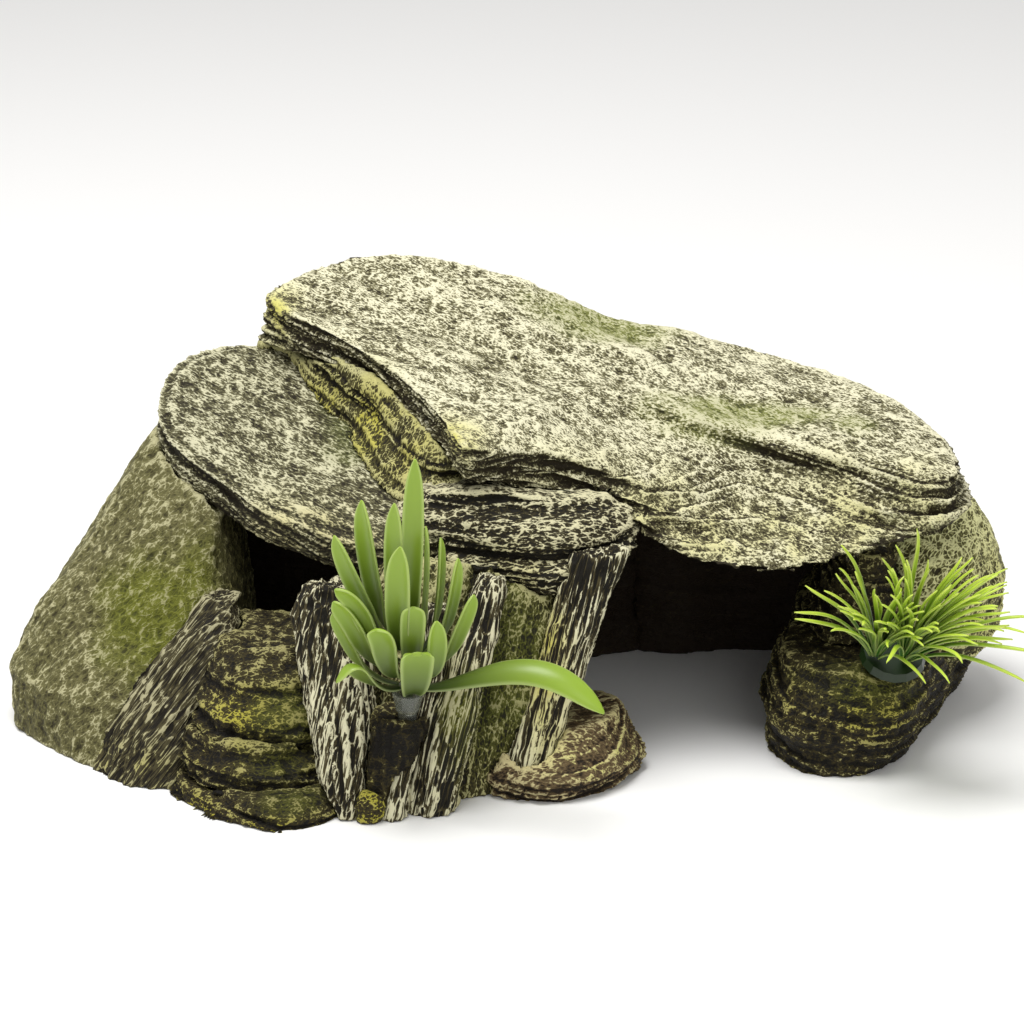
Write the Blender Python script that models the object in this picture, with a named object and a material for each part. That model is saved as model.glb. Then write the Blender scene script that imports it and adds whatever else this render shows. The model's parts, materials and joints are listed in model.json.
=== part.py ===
"""Resin cave ornament for a pond or an aquarium.

Painted stones are stacked round an open room with two doorways. Two plastic plants are pushed into the rock:
a broad-leaf plant on a pedestal by the pillar, and a tuft of grass on the right leg. The outlines below are
sketched in millimetres for the nominal size, with x to the right, y to the back and z up from the floor.
"""
import math
import random

import bmesh
import bpy
from mathutils import Matrix, Vector, noise

MM = 0.001

# Overall size of the rockwork, in millimetres. The outlines are sketched at the nominal size.
LENGTH = 249.0
DEPTH = 132.0
HEIGHT = 104.0
NOMINAL_LENGTH = 249.0
NOMINAL_DEPTH = 132.0
NOMINAL_HEIGHT = 104.0

# Stones
GLUE_GAP = 0.4          # glue line between two stones
CAP_THICKNESS = 15.0    # middle of the cap slab
STEP_THICKNESS = 10.0   # edge of the step slab
STEP_TOP_LAYER = 2.0    # thin top layer of the step slab
ROUGHNESS = 0.9         # height of the lumps on a stone
LUMP = 14.0             # distance between lumps
LUMP_SEED = 11
SHARP_ANGLE = 50.0      # degrees between faces that show as a crease

# Plugs that hold the plants
PEG_RADIUS = 2.2
PEG_LENGTH = 9.0
PEG_CLEARANCE = 0.3
PEG_SIDES = 16
SEAT_GAP = 0.3          # between a plug's foot and the rock
BEARING_GAP = 0.3       # between a plug and the crown that turns on it
SPOT_FACE_HEIGHT = 40.0  # room cleared over the mouth of a plug's hole
CUP_FOOT_RADIUS = 2.7
CUP_FOOT_HEIGHT = 0.8
CUP_RADIUS = 3.9
CUP_HEIGHT = 6.0
CUP_WALL = 0.8
CUP_FLOOR = 0.8
BROADLEAF_PLACE = (-24.5, -55.5, 24.0)  # sketched
BROADLEAF_AXIS = (0.04, -0.15, 0.99)
GRASS_PLACE = (91, -30, 26.0)           # sketched
GRASS_AXIS = (0.1, -0.42, 0.9)

# Broad-leaf plant
STEM_RADIUS = 1.2
STEM_LENGTH = 26.0
STEM_CLEARANCE = 0.3
HUB_WALL = 1.3
HUB_HEIGHT = 2.6
HUB_SPACER = 1.0        # free stem between two whorls
HUB_SIDES = 12
LEAF_THICKNESS = 0.8
LEAF_RISE = 1.0         # how much a leaf climbs on its way out from the hub
LEAF_STEPS = 6

# Grass
FLANGE_RADIUS = 4.8
FLANGE_THICKNESS = 1.0
GRASS_DISC_RADIUS = 8.0
GRASS_DISC_TOP_RADIUS = 7.2
GRASS_DISC_HEIGHT = 2.0
TUFT_RADIUS = 3.4
TUFT_CUT = 0.5          # how far below its middle a tuft's dome is cut, as a share of its radius
TUFT_SPACING = 0.6      # between the two domes
BLADE_WIDTH = 1.3
BLADE_STEPS = 4


def clear_scene():
    for old in list(bpy.data.objects):
        bpy.data.objects.remove(old)


def at(x, y, z):
    """A sketched point in metres, stretched with the rockwork."""
    stretched = Vector((x * LENGTH / NOMINAL_LENGTH, y * DEPTH / NOMINAL_DEPTH, z * HEIGHT / NOMINAL_HEIGHT))
    return stretched * MM


def material(name, colour, roughness, transmission=0.0):
    made = bpy.data.materials.new(name)
    made.use_nodes = True
    shader = made.node_tree.nodes["Principled BSDF"]
    shader.inputs["Base Color"].default_value = (*colour, 1.0)
    shader.inputs["Roughness"].default_value = roughness
    shader.inputs["Metallic"].default_value = 0.0
    shader.inputs["Transmission Weight"].default_value = transmission
    return made


def add_object(name, mesh_or_bmesh, paint):
    if isinstance(mesh_or_bmesh, bmesh.types.BMesh):
        mesh = bpy.data.meshes.new(name)
        mesh_or_bmesh.to_mesh(mesh)
        mesh_or_bmesh.free()
    else:
        mesh = mesh_or_bmesh
    mesh.materials.clear()
    mesh.materials.append(paint)
    mesh.shade_smooth()
    mesh.set_sharp_from_angle(angle=math.radians(SHARP_ANGLE))
    added = bpy.data.objects.new(name, mesh)
    bpy.context.scene.collection.objects.link(added)
    return added


# ---- outlines -------------------------------------------------------------------------------------------

def closed_curve(points, count):
    """Evenly stepped points on a smooth closed curve through the sketched points."""
    total = len(points)
    curve = []
    for step in range(count):
        place = step * total / count
        index = int(place)
        t = place - index
        a, b, c, d = (Vector(points[(index + k) % total]) for k in (-1, 0, 1, 2))
        curve.append(0.5 * (2 * b + (c - a) * t + (2 * a - 5 * b + 4 * c - d) * t * t
                            + (3 * b - a - 3 * c + d) * t ** 3))
    return curve


def level(z, *plan):
    """A level outline from its plan."""
    return [(x, y, z) for x, y in plan]


def oval(x, y, z, half_x, half_y, points=8):
    """A level oval outline that starts at its left end."""
    turns = (math.pi + math.tau * k / points for k in range(points))
    return [(x + half_x * math.cos(turn), y - half_y * math.sin(turn), z) for turn in turns]


def blend(first, second, share):
    return [Vector(a).lerp(Vector(b), share) for a, b in zip(first, second)]


def toward(outline, centre, share):
    return [Vector(point).lerp(Vector(centre), share) for point in outline]


def lower(outline, drop):
    return [Vector(point) - Vector((0, 0, drop)) for point in outline]


def swell(outline, out):
    """Move an outline away from its middle in plan."""
    middle = sum((Vector(point) for point in outline), Vector()) / len(outline)
    moved = []
    for point in outline:
        away = Vector(point) - middle
        away.z = 0
        moved.append(Vector(point) + away.normalized() * out)
    return moved


# ---- stones ---------------------------------------------------------------------------------------------

def lump(point, seed):
    """Shift of a stone's surface at a sketched point."""
    shift = noise.noise_vector(Vector(point) / LUMP + Vector((seed, 0, 0)))
    return shift * ROUGHNESS


def grow_stone(rings, sides, seed, relief=None):
    """A closed stone grown ring by ring from its lowest outline."""
    curves = [closed_curve(ring, sides) for ring in rings]
    bm = bmesh.new()
    placed = []
    for number, curve in enumerate(curves):
        for index, point in enumerate(curve):
            moved = point + lump(point, seed)
            if relief:
                moved.z += relief(point.x, point.y) * (number > len(curves) // 2)
            if point.z < 0.01:
                moved.z = 0.0
            curve[index] = at(*moved)
        placed.append(curve)
    corners = [bm.verts.new(point) for point in placed[0]]
    edges = [bm.edges.new((corners[k - 1], corners[k])) for k in range(sides)]
    bm.faces.new(corners)
    for curve in placed[1:]:
        grown = bmesh.ops.extrude_edge_only(bm, edges=edges)
        risen = {item for item in grown["geom"] if isinstance(item, bmesh.types.BMVert)}
        corners = [next(edge.other_vert(corner) for edge in corner.link_edges
                        if edge.other_vert(corner) in risen) for corner in corners]
        for corner, point in zip(corners, curve):
            corner.co = point
        edges = [bm.edges.get((corners[k - 1], corners[k])) for k in range(sides)]
    bm.faces.new(corners)
    bmesh.ops.poke(bm, faces=[face for face in bm.faces if len(face.verts) == sides])
    bmesh.ops.triangulate(bm, faces=bm.faces[:])
    bmesh.ops.recalc_face_normals(bm, faces=bm.faces[:])
    return bm


def evaluated_mesh(item):
    bpy.context.view_layer.update()
    graph = bpy.context.evaluated_depsgraph_get()
    return bpy.data.meshes.new_from_object(item.evaluated_get(graph))


def keep_largest_body(mesh):
    """Drop the chips that a cut leaves beside a stone."""
    bm = bmesh.new()
    bm.from_mesh(mesh)
    bodies = []
    left = set(bm.faces)
    while left:
        body = set()
        border = [left.pop()]
        while border:
            face = border.pop()
            body.add(face)
            for edge in face.edges:
                for other in edge.link_faces:
                    if other in left:
                        left.discard(other)
                        border.append(other)
        bodies.append(body)
    bodies.sort(key=lambda body: sum(face.calc_area() for face in body))
    chips = [face for body in bodies[:-1] for face in body]
    bmesh.ops.delete(bm, geom=chips, context='FACES')
    bmesh.ops.dissolve_degenerate(bm, dist=0.02 * MM, edges=bm.edges[:])
    bmesh.ops.triangulate(bm, faces=bm.faces[:])
    bm.to_mesh(mesh)
    bm.free()


def boxes_meet(first, second):
    """Whether two objects' boxes come within a glue line of each other."""
    gap = 2 * GLUE_GAP * MM
    for axis in range(3):
        first_span = [(first.matrix_world @ Vector(corner))[axis] for corner in first.bound_box]
        second_span = [(second.matrix_world @ Vector(corner))[axis] for corner in second.bound_box]
        if min(first_span) > max(second_span) + gap or min(second_span) > max(first_span) + gap:
            return False
    return True


def cut(item, cutter_mesh):
    """Take a cutter's volume out of an object for good."""
    cutter = bpy.data.objects.new("cutter", cutter_mesh)
    bpy.context.scene.collection.objects.link(cutter)
    cutter.hide_render = True
    cutter.display_type = 'WIRE'
    removal = item.modifiers.new("cut", 'BOOLEAN')
    removal.operation = 'DIFFERENCE'
    removal.solver = 'EXACT'
    removal.use_self = True
    removal.object = cutter
    result = evaluated_mesh(item)
    item.modifiers.clear()
    keep_largest_body(result)
    item.data = result
    bpy.data.objects.remove(cutter)


def inflated(mesh):
    """A copy of a stone that is one glue line larger all round."""
    bm = bmesh.new()
    bm.from_mesh(mesh)
    bm.normal_update()
    shifts = {}
    for vert in bm.verts:
        normals = [face.normal for face in vert.link_faces]
        shifts[vert] = vert.normal * GLUE_GAP * MM
        if normals:
            facing = max(0.5, min(vert.normal.dot(normal) for normal in normals))
            shifts[vert] /= facing
    for vert, shift in shifts.items():
        vert.co += shift
    larger = bpy.data.meshes.new("larger")
    bm.to_mesh(larger)
    bm.free()
    return larger


stones = []


def add_stone(name, paint, rings, sides=20, relief=None):
    """Place a stone and cut it back from the stones that stand already."""
    seed = 1.7 * len(stones)
    placed = add_object(name, grow_stone(rings, sides, seed, relief), paint)
    bpy.context.view_layer.update()
    larger = inflated(placed.data)
    for neighbour, neighbour_larger in stones:
        if boxes_meet(placed, neighbour):
            cut(placed, neighbour_larger)
    placed.data.materials.clear()
    placed.data.materials.append(paint)
    placed.data.shade_smooth()
    placed.data.set_sharp_from_angle(angle=math.radians(SHARP_ANGLE))
    stones.append((placed, larger))


def cap_relief(x, y):
    """Hollows and swellings on top of the cap slab: place, half width, height."""
    features = (
        (23, 42, 12, 7, -3.0),
        (34, 26, 14, 7, 2.0),
        (10, 16, 14, 8, -2.0),
        (57, 8, 24, 12, -3.0),
        (-25, 30, 16, 12, 1.5),
    )
    rise = 0.0
    for cx, cy, half_x, half_y, height in features:
        rise += height * math.exp(-((x - cx) / half_x) ** 2 - ((y - cy) / half_y) ** 2)
    return rise


def add_cap_slab(paint):
    """Large tilted slab: a layered edge between a lower rim and an upper lip."""
    lip = [(-61, 44, 96), (-53, 52, 99), (-41, 59, 103), (-20, 58, 102), (2, 52, 98), (24, 46, 92),
           (41, 43, 88), (66, 39, 83), (86, 28, 79), (101, 10, 75), (107, -10, 71.5), (103, -19, 70),
           (88, -17, 69), (66, -6, 68), (46, -9, 68), (30, -15, 70), (14, -17, 74), (1, -20, 77),
           (-11, -26, 79), (-16, -13, 82), (-27, 5, 87), (-41, 19, 91), (-54, 31, 94.5)]
    rim = [(-64, 45, 84), (-57, 55, 86), (-43, 61, 88), (-20, 60, 86), (3, 56, 82), (26, 50, 76),
           (44, 47, 72), (70, 43, 68), (91, 31, 65), (106, 12, 62), (110, -10, 61), (104, -23, 57),
           (90, -27, 54), (72, -31, 50.5), (54, -31, 49.5), (38, -26, 53), (23, -19, 60), (4, -18, 66),
           (-11, -24, 70), (-16, -11, 73), (-26, 7, 78), (-40, 21, 82), (-54, 33, 84)]
    crown = (20, 12, 83)
    under = (20, 12, 83 - CAP_THICKNESS)
    rings = [
        toward(rim, under, 0.7),
        toward(rim, under, 0.35),
        toward(rim, under, 0.1),
        rim,
        swell(blend(rim, lip, 0.25), 1.0),
        swell(blend(rim, lip, 0.32), -1.2),
        swell(blend(rim, lip, 0.55), 0.8),
        swell(blend(rim, lip, 0.62), -1.0),
        swell(blend(rim, lip, 0.85), 0.8),
        lip,
        toward(lip, crown, 0.08),
        toward(lip, crown, 0.3),
        toward(lip, crown, 0.55),
        toward(lip, crown, 0.8),
    ]
    add_stone("cap_slab", paint, rings, 46, cap_relief)


def add_step_slab(paint):
    """Lower slab at the left that tips toward the front, with a thin top layer set back from its edge."""
    edge = [(-89, 25, 75), (-86, 38, 79), (-76, 46, 81), (-60, 47, 81), (-38, 32, 76), (-18, 8, 68),
            (-8, -14, 60), (-20, -27, 55), (-39, -24, 55), (-52, -18, 57), (-64, -10, 60), (-77, 1, 65),
            (-86, 12, 70.5)]
    middle_top = (-50, 14, 71)
    middle_under = (-50, 14, 71 - STEP_THICKNESS)
    base = lower(edge, STEP_THICKNESS)
    rings = [
        toward(base, middle_under, 0.6),
        toward(base, middle_under, 0.2),
        toward(base, middle_under, 0.06),
        blend(base, edge, 0.45),
        swell(blend(base, edge, 0.62), -0.8),
        edge,
        toward(edge, middle_top, 0.07),
        lower(toward(edge, middle_top, 0.1), -0.8 * STEP_TOP_LAYER),
        toward(lower(edge, -STEP_TOP_LAYER), middle_top, 0.3),
        toward(lower(edge, -STEP_TOP_LAYER), middle_top, 0.65),
    ]
    add_stone("step_slab", paint, rings, 36)


def add_neck_block(paint):
    """Wedge of ledges that holds the left end of the cap slab over the step slab."""
    foot = [(-68, 44, 78), (-57, 38, 76), (-52, 25, 72), (-45, 13, 68), (-37, -1, 65), (-31, -12, 60),
            (-20, -20, 58), (-8, -10, 60), (0, 20, 70), (-10, 45, 76), (-40, 54, 79), (-60, 54, 79)]
    ledge = [(-65, 44, 83), (-58, 43, 82), (-52, 29, 79), (-44, 19, 76), (-35, 6, 73), (-29, -7, 68),
             (-18, -15, 66), (-8, -8, 68), (0, 20, 74), (-10, 45, 80), (-40, 56, 83), (-58, 54, 83)]
    top = [(-62, 46, 90), (-54, 38, 90), (-48, 28, 88), (-40, 19, 85), (-30, 7, 82), (-21, -6, 77),
           (-14, -12, 74), (-6, -6, 74), (0, 20, 78), (-10, 45, 86), (-40, 54, 90), (-56, 52, 90)]
    rings = [
        foot,
        swell(blend(foot, ledge, 0.45), 0.8),
        swell(blend(foot, ledge, 0.6), -1.2),
        ledge,
        swell(blend(ledge, top, 0.3), -1.8),
        swell(blend(ledge, top, 0.6), 0.6),
        top,
    ]
    add_stone("neck_block", paint, rings, 30)


def add_lintel_slab(paint):
    """Two thin layers between the cap slab and the pillar."""
    foot = [(-30, -18, 49), (-20, -25, 47), (-4, -30, 46), (11, -34, 45), (24, -29, 49), (29, -18, 54),
            (24, 2, 56), (0, 12, 56), (-22, 6, 54)]
    brow = [(-31, -17, 56), (-21, -25, 56), (-5, -30, 56), (11, -32, 56), (25, -27, 57), (30, -17, 60),
            (24, 4, 62), (0, 14, 63), (-22, 8, 60)]
    top = [(-24, -14, 66), (-16, -22, 67), (-4, -24, 67), (8, -24, 66), (20, -22, 65), (26, -14, 66),
           (22, 4, 70), (0, 14, 71), (-18, 8, 70)]
    rings = [
        toward(foot, (0, -10, 49), 0.25),
        foot,
        swell(blend(foot, brow, 0.45), 1.2),
        swell(blend(foot, brow, 0.7), -1.6),
        brow,
        swell(blend(brow, top, 0.45), 1.0),
        swell(blend(brow, top, 0.7), -1.0),
        top,
    ]
    add_stone("lintel_slab", paint, rings, 28)


def add_left_side(paints):
    add_stone("left_boulder", paints["khaki"], [
        level(0, (-123, 0), (-121, -12), (-112, -24), (-103, -33), (-91, -38), (-78, -34), (-70, -22),
              (-66, -4), (-64, 15), (-66, 36), (-80, 47), (-100, 43), (-116, 24)),
        level(14, (-125, 2), (-122, -9), (-112, -20), (-101, -27), (-90, -30), (-79, -27), (-71, -18),
              (-67, 0), (-65, 18), (-67, 36), (-80, 46), (-100, 42), (-117, 24)),
        level(28, (-119, 6), (-115, -3), (-106, -11), (-96, -17), (-86, -20), (-76, -20), (-70, -12),
              (-67, 2), (-66, 18), (-68, 35), (-82, 44), (-100, 40), (-113, 24)),
        level(42, (-108, 12), (-104, 3), (-97, -5), (-89, -9), (-81, -11), (-74, -10), (-70, -3),
              (-68, 8), (-67, 20), (-69, 34), (-83, 42), (-97, 38), (-105, 26)),
        level(54, (-98, 16), (-95, 9), (-89, 3), (-83, 0), (-77, -2), (-72, -1), (-70, 5),
              (-68, 12), (-67, 22), (-69, 34), (-81, 40), (-92, 35), (-97, 26)),
        level(63, (-92, 19), (-89, 13), (-85, 9), (-80, 7), (-76, 6), (-72, 7), (-70, 11),
              (-68, 16), (-67, 24), (-69, 34), (-79, 38), (-87, 34), (-92, 27)),
        level(68, (-88, 21), (-86, 17), (-83, 14), (-79, 12), (-75, 11), (-72, 12), (-71, 15),
              (-70, 19), (-69, 25), (-71, 32), (-78, 35), (-84, 32), (-88, 27)),
    ], 30)
    add_stone("left_buttress", paints["dark"], [
        level(0, (-103, -31), (-97, -40), (-89, -45), (-80, -46), (-74, -40), (-74, -28), (-84, -22), (-98, -22)),
        level(10, (-99, -28), (-93, -37), (-86, -42), (-78, -42), (-72, -36), (-71, -26), (-80, -20), (-94, -20)),
        level(20, (-91, -25), (-86, -33), (-80, -38), (-74, -37), (-69, -31), (-68, -22), (-75, -17), (-86, -18)),
        level(30, (-81, -21), (-78, -27), (-73, -31), (-69, -30), (-66, -26), (-66, -19), (-70, -15), (-77, -15)),
        level(38, (-74, -16), (-72, -19), (-70, -21), (-68, -21), (-66, -18), (-66, -14), (-68, -11), (-72, -11)),
    ])
    add_stone("ledge_upper", paints["moss"], [
        level(13, (-75, -40), (-70, -49), (-60, -52), (-49, -51), (-43, -44), (-43, -30), (-56, -22), (-72, -24)),
        level(20, (-76, -38), (-70, -48), (-60, -51), (-49, -50), (-42, -42), (-42, -28), (-56, -20), (-72, -22)),
        level(24, (-73, -37), (-68, -44), (-60, -47), (-50, -46), (-43, -40), (-43, -27), (-56, -18), (-70, -20)),
        level(27, (-73, -34), (-68, -43), (-60, -46), (-50, -45), (-42, -39), (-42, -25), (-56, -15), (-70, -17)),
        level(33, (-70, -28), (-66, -35), (-59, -38), (-51, -37), (-45, -33), (-44, -23), (-56, -13), (-69, -14)),
    ], 24)
    add_stone("ledge_middle", paints["moss"], [
        level(4, (-79, -45), (-73, -55), (-62, -59), (-50, -57), (-42, -49), (-43, -36), (-56, -28), (-75, -30)),
        level(9, (-80, -44), (-73, -54), (-62, -58), (-50, -56), (-41, -48), (-42, -34), (-56, -27), (-76, -29)),
        level(11, (-78, -43), (-71, -52), (-62, -55), (-51, -53), (-43, -46), (-43, -33), (-56, -26), (-74, -28)),
        level(15, (-77, -41), (-70, -51), (-61, -54), (-51, -52), (-43, -45), (-43, -32), (-56, -25), (-73, -27)),
    ], 24)
    add_stone("ledge_apron", paints["moss"], [
        level(0, (-81, -46), (-76, -55), (-68, -64), (-58, -70), (-48, -69), (-41, -62), (-41, -48), (-50, -34),
              (-66, -30), (-78, -34)),
        level(3, (-80, -46), (-75, -55), (-67, -63), (-58, -69), (-48, -68), (-42, -61), (-41, -48), (-50, -34),
              (-66, -30), (-78, -34)),
        level(6, (-78, -45), (-73, -53), (-66, -60), (-58, -65), (-49, -64), (-44, -58), (-43, -48), (-50, -35),
              (-66, -31), (-76, -35)),
    ], 26)


def add_pillar(paints):
    add_stone("splinter_shard", paints["dark"], [
        oval(-39, -60, 0, 4.5, 4.0),
        oval(-39.5, -57, 9, 6.0, 6.0),
        oval(-39.5, -52, 18, 7.5, 7.5),
        oval(-41.5, -45, 30, 8.8, 8.0),
        oval(-43.5, -39, 42, 8.5, 7.0),
        oval(-43.5, -36, 49, 6.0, 4.5),
    ], 18)
    add_stone("pillar_core", paints["olive"], [
        level(0, (-32, -48), (-20, -54), (-8, -50), (4, -46), (9, -38), (4, -24), (-14, -18), (-32, -26)),
        level(16, (-33, -44), (-20, -49), (-6, -46), (8, -42), (13, -34), (8, -20), (-14, -14), (-34, -22)),
        level(32, (-34, -38), (-20, -42), (-4, -40), (12, -36), (18, -28), (12, -14), (-14, -8), (-36, -16)),
        level(44, (-33, -33), (-20, -36), (-3, -35), (12, -32), (20, -26), (14, -10), (-14, -4), (-36, -12)),
        level(52, (-30, -28), (-18, -31), (-3, -31), (10, -28), (18, -22), (14, -8), (-14, -2), (-33, -10)),
    ], 24)
    add_stone("pillar_column", paints["ochre"], [
        oval(2, -45, 0, 6.5, 6.5),
        oval(5, -44, 10, 6.0, 6.0),
        oval(9, -41, 22, 5.8, 6.0),
        oval(14, -37, 36, 6.2, 6.0),
        oval(18, -33, 47, 6.8, 6.0),
        oval(21, -30, 56, 6.5, 5.0),
    ], 18)
    add_stone("pillar_rib", paints["ochre"], [
        oval(-19, -57, 0, 6.5, 5.5),
        oval(-17.5, -55, 9, 6.5, 5.5),
        oval(-14, -50, 22, 6.0, 5.5),
        oval(-9, -44, 36, 5.0, 5.0),
        oval(-6, -39, 46, 4.0, 4.0),
        oval(-5, -36, 51, 3.0, 3.0),
    ], 18)
    add_stone("pillar_blade", paints["dark"], [
        oval(-28, -60, 0, 3.5, 4.5),
        oval(-26.5, -57, 8, 3.5, 5.0),
        oval(-22, -51, 20, 3.0, 4.5),
        oval(-18.5, -46, 33, 3.0, 4.5),
        oval(-18, -41, 45, 2.8, 4.0),
    ], 16)
    add_stone("plant_pedestal", paints["dark"], [
        oval(-31, -54, 0, 6.5, 9.0),
        oval(-30, -54, 7, 6.5, 9.0),
        oval(-28, -54, 14, 7.0, 8.5),
        oval(-26.5, -53.5, 20.5, 7.0, 8.0),
        oval(-26, -53, 23.5, 6.0, 7.0),
    ], 22)
    add_stone("base_cobble", paints["ochre"], [
        oval(-33.5, -63.5, 0, 3.5, 3.0),
        oval(-33.5, -63, 3.5, 4.2, 4.0),
        oval(-33.5, -62, 7, 3.0, 3.0),
    ], 14)
    add_stone("pillar_foot", paints["brown"], [
        level(0, (-6, -47), (4, -53), (14, -53), (24, -45), (29, -34), (26, -24), (14, -22), (0, -28)),
        level(5, (-6, -48), (4, -54), (15, -54), (26, -46), (31, -34), (27, -23), (14, -21), (0, -27)),
        level(9, (-4, -46), (5, -51), (14, -51), (24, -44), (29, -33), (26, -23), (14, -20), (1, -26)),
        level(15, (2, -40), (8, -44), (14, -44), (21, -40), (26, -31), (24, -22), (15, -19), (5, -24)),
    ], 24)


def add_right_side(paints):
    add_stone("right_boulder", paints["khaki"], [
        level(15, (93, 0), (101, -5), (110, -3), (117, 6), (118, 18), (111, 30), (99, 32), (91, 18)),
        level(22, (90, -2), (100, -9), (112, -7), (121, 4), (122, 18), (114, 33), (98, 37), (87, 20)),
        level(33, (88, -3), (99, -11), (112, -8), (122, 4), (123, 18), (116, 34), (98, 38), (86, 22)),
        level(44, (88, 0), (98, -8), (110, -6), (119, 5), (120, 18), (113, 33), (98, 37), (86, 22)),
        level(52, (89, 3), (98, -4), (107, -2), (114, 8), (115, 17), (108, 29), (97, 33), (88, 20)),
        level(60, (88, 4), (94, 0), (98, 2), (101, 8), (100, 14), (96, 20), (91, 22), (86, 14)),
    ], 24)
    add_stone("right_leg", paints["dark"], [
        level(0, (63, -20), (67, -34), (78, -39), (88, -35), (96, -23), (104, -6), (110, 8), (115, 22), (108, 34),
              (92, 42), (76, 40), (70, 20), (65, 0)),
        level(10, (62, -20), (66, -35), (78, -40), (90, -38), (99, -26), (107, -6), (113, 8), (117, 21), (110, 33),
              (92, 41), (76, 39), (70, 20), (65, 0)),
        level(16, (63, -20), (67, -34), (78, -39), (91, -38), (100, -26), (107, -6), (112, 8), (115, 20), (108, 31),
              (92, 39), (77, 38), (71, 20), (66, 0)),
        level(25, (66, -18), (70, -29), (79, -35), (91, -35), (99, -25), (105, -6), (108, 8), (109, 18), (104, 28),
              (92, 36), (79, 35), (74, 18), (70, 0)),
    ], 30)
    add_stone("right_post", paints["dark"], [
        level(22, (71, -10), (78, -20), (90, -20), (97, -10), (100, 16), (93, 34), (80, 34), (74, 14)),
        level(34, (76, -8), (82, -16), (91, -15), (97, -7), (99, 16), (93, 33), (82, 32), (77, 14)),
        level(46, (81, -4), (85, -11), (92, -10), (97, -3), (98, 16), (93, 30), (85, 29), (81, 14)),
        level(60, (85, 1), (88, -4), (93, -3), (96, 3), (97, 15), (93, 25), (87, 24), (84, 13)),
    ])


def add_back_walls(paints):
    add_stone("back_wall_left", paints["brown"], [
        level(0, (-74, 42), (-56, 36), (-40, 37), (-24, 38), (-19, 46), (-28, 56), (-46, 58), (-62, 52)),
        level(24, (-75, 41), (-56, 35), (-40, 36), (-24, 37), (-18, 46), (-28, 57), (-46, 58), (-62, 52)),
        level(50, (-76, 38), (-56, 34), (-40, 35), (-24, 36), (-18, 44), (-28, 56), (-46, 56), (-63, 51)),
        level(74, (-70, 38), (-56, 34), (-40, 34), (-25, 36), (-19, 43), (-28, 53), (-46, 54), (-62, 49)),
        level(84, (-60, 42), (-54, 38), (-40, 38), (-28, 39), (-23, 44), (-30, 51), (-44, 52), (-56, 49)),
    ], 22)
    add_stone("back_wall_middle", paints["brown"], [
        level(0, (-24, 44), (-12, 37), (8, 37), (26, 39), (33, 46), (24, 55), (4, 58), (-16, 56)),
        level(26, (-24, 43), (-12, 36), (8, 36), (26, 38), (34, 46), (24, 55), (4, 58), (-16, 56)),
        level(52, (-24, 42), (-12, 35), (8, 35), (26, 36), (33, 43), (24, 52), (4, 55), (-16, 55)),
        level(72, (-24, 42), (-12, 34), (8, 34), (24, 35), (30, 41), (22, 48), (4, 51), (-16, 53)),
        level(82, (-20, 42), (-10, 37), (6, 36), (18, 37), (23, 41), (16, 45), (3, 48), (-12, 50)),
    ], 22)
    add_stone("back_wall_right", paints["brown"], [
        level(0, (28, 46), (40, 40), (56, 42), (74, 42), (86, 38), (84, 48), (66, 55), (44, 56)),
        level(26, (28, 45), (40, 39), (56, 41), (74, 40), (86, 36), (84, 47), (66, 54), (44, 55)),
        level(50, (28, 43), (40, 37), (56, 38), (74, 37), (84, 32), (82, 42), (66, 49), (44, 51)),
        level(64, (29, 41), (40, 35), (56, 35), (70, 33), (78, 28), (77, 36), (64, 43), (44, 46)),
        level(74, (33, 39), (41, 35), (54, 34), (64, 32), (69, 29), (68, 34), (60, 38), (45, 42)),
    ], 22)


# ---- plants ---------------------------------------------------------------------------------------------

def cylinder(radius, low, high, sides, top_radius=None):
    bm = bmesh.new()
    top = radius if top_radius is None else top_radius
    middle = Matrix.Translation((0, 0, (low + high) / 2 * MM))
    bmesh.ops.create_cone(bm, cap_ends=True, segments=sides, radius1=radius * MM, radius2=top * MM,
                          depth=(high - low) * MM, matrix=middle)
    return bm


def turned(profile, sides):
    """A closed ring turned round Z from a profile of (radius, height)."""
    bm = bmesh.new()
    corners = [bm.verts.new((radius * MM, 0, height * MM)) for radius, height in profile]
    edges = [bm.edges.new((corners[k - 1], corners[k])) for k in range(len(corners))]
    bmesh.ops.spin(bm, geom=corners + edges, axis=(0, 0, 1), cent=(0, 0, 0), steps=sides,
                   angle=math.tau, use_merge=True)
    bmesh.ops.remove_doubles(bm, verts=bm.verts[:], dist=0.001 * MM)
    bmesh.ops.recalc_face_normals(bm, faces=bm.faces[:])
    return bm


def turned_solid(profile, sides):
    """A closed body turned round Z from a profile that starts and ends on the axis."""
    bm = bmesh.new()
    corners = [bm.verts.new((radius * MM, 0, height * MM)) for radius, height in profile]
    edges = [bm.edges.new((corners[k], corners[k + 1])) for k in range(len(corners) - 1)]
    bmesh.ops.spin(bm, geom=corners + edges, axis=(0, 0, 1), cent=(0, 0, 0), steps=sides,
                   angle=math.tau, use_merge=True)
    bmesh.ops.remove_doubles(bm, verts=bm.verts[:], dist=0.001 * MM)
    bmesh.ops.recalc_face_normals(bm, faces=bm.faces[:])
    return bm


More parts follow.
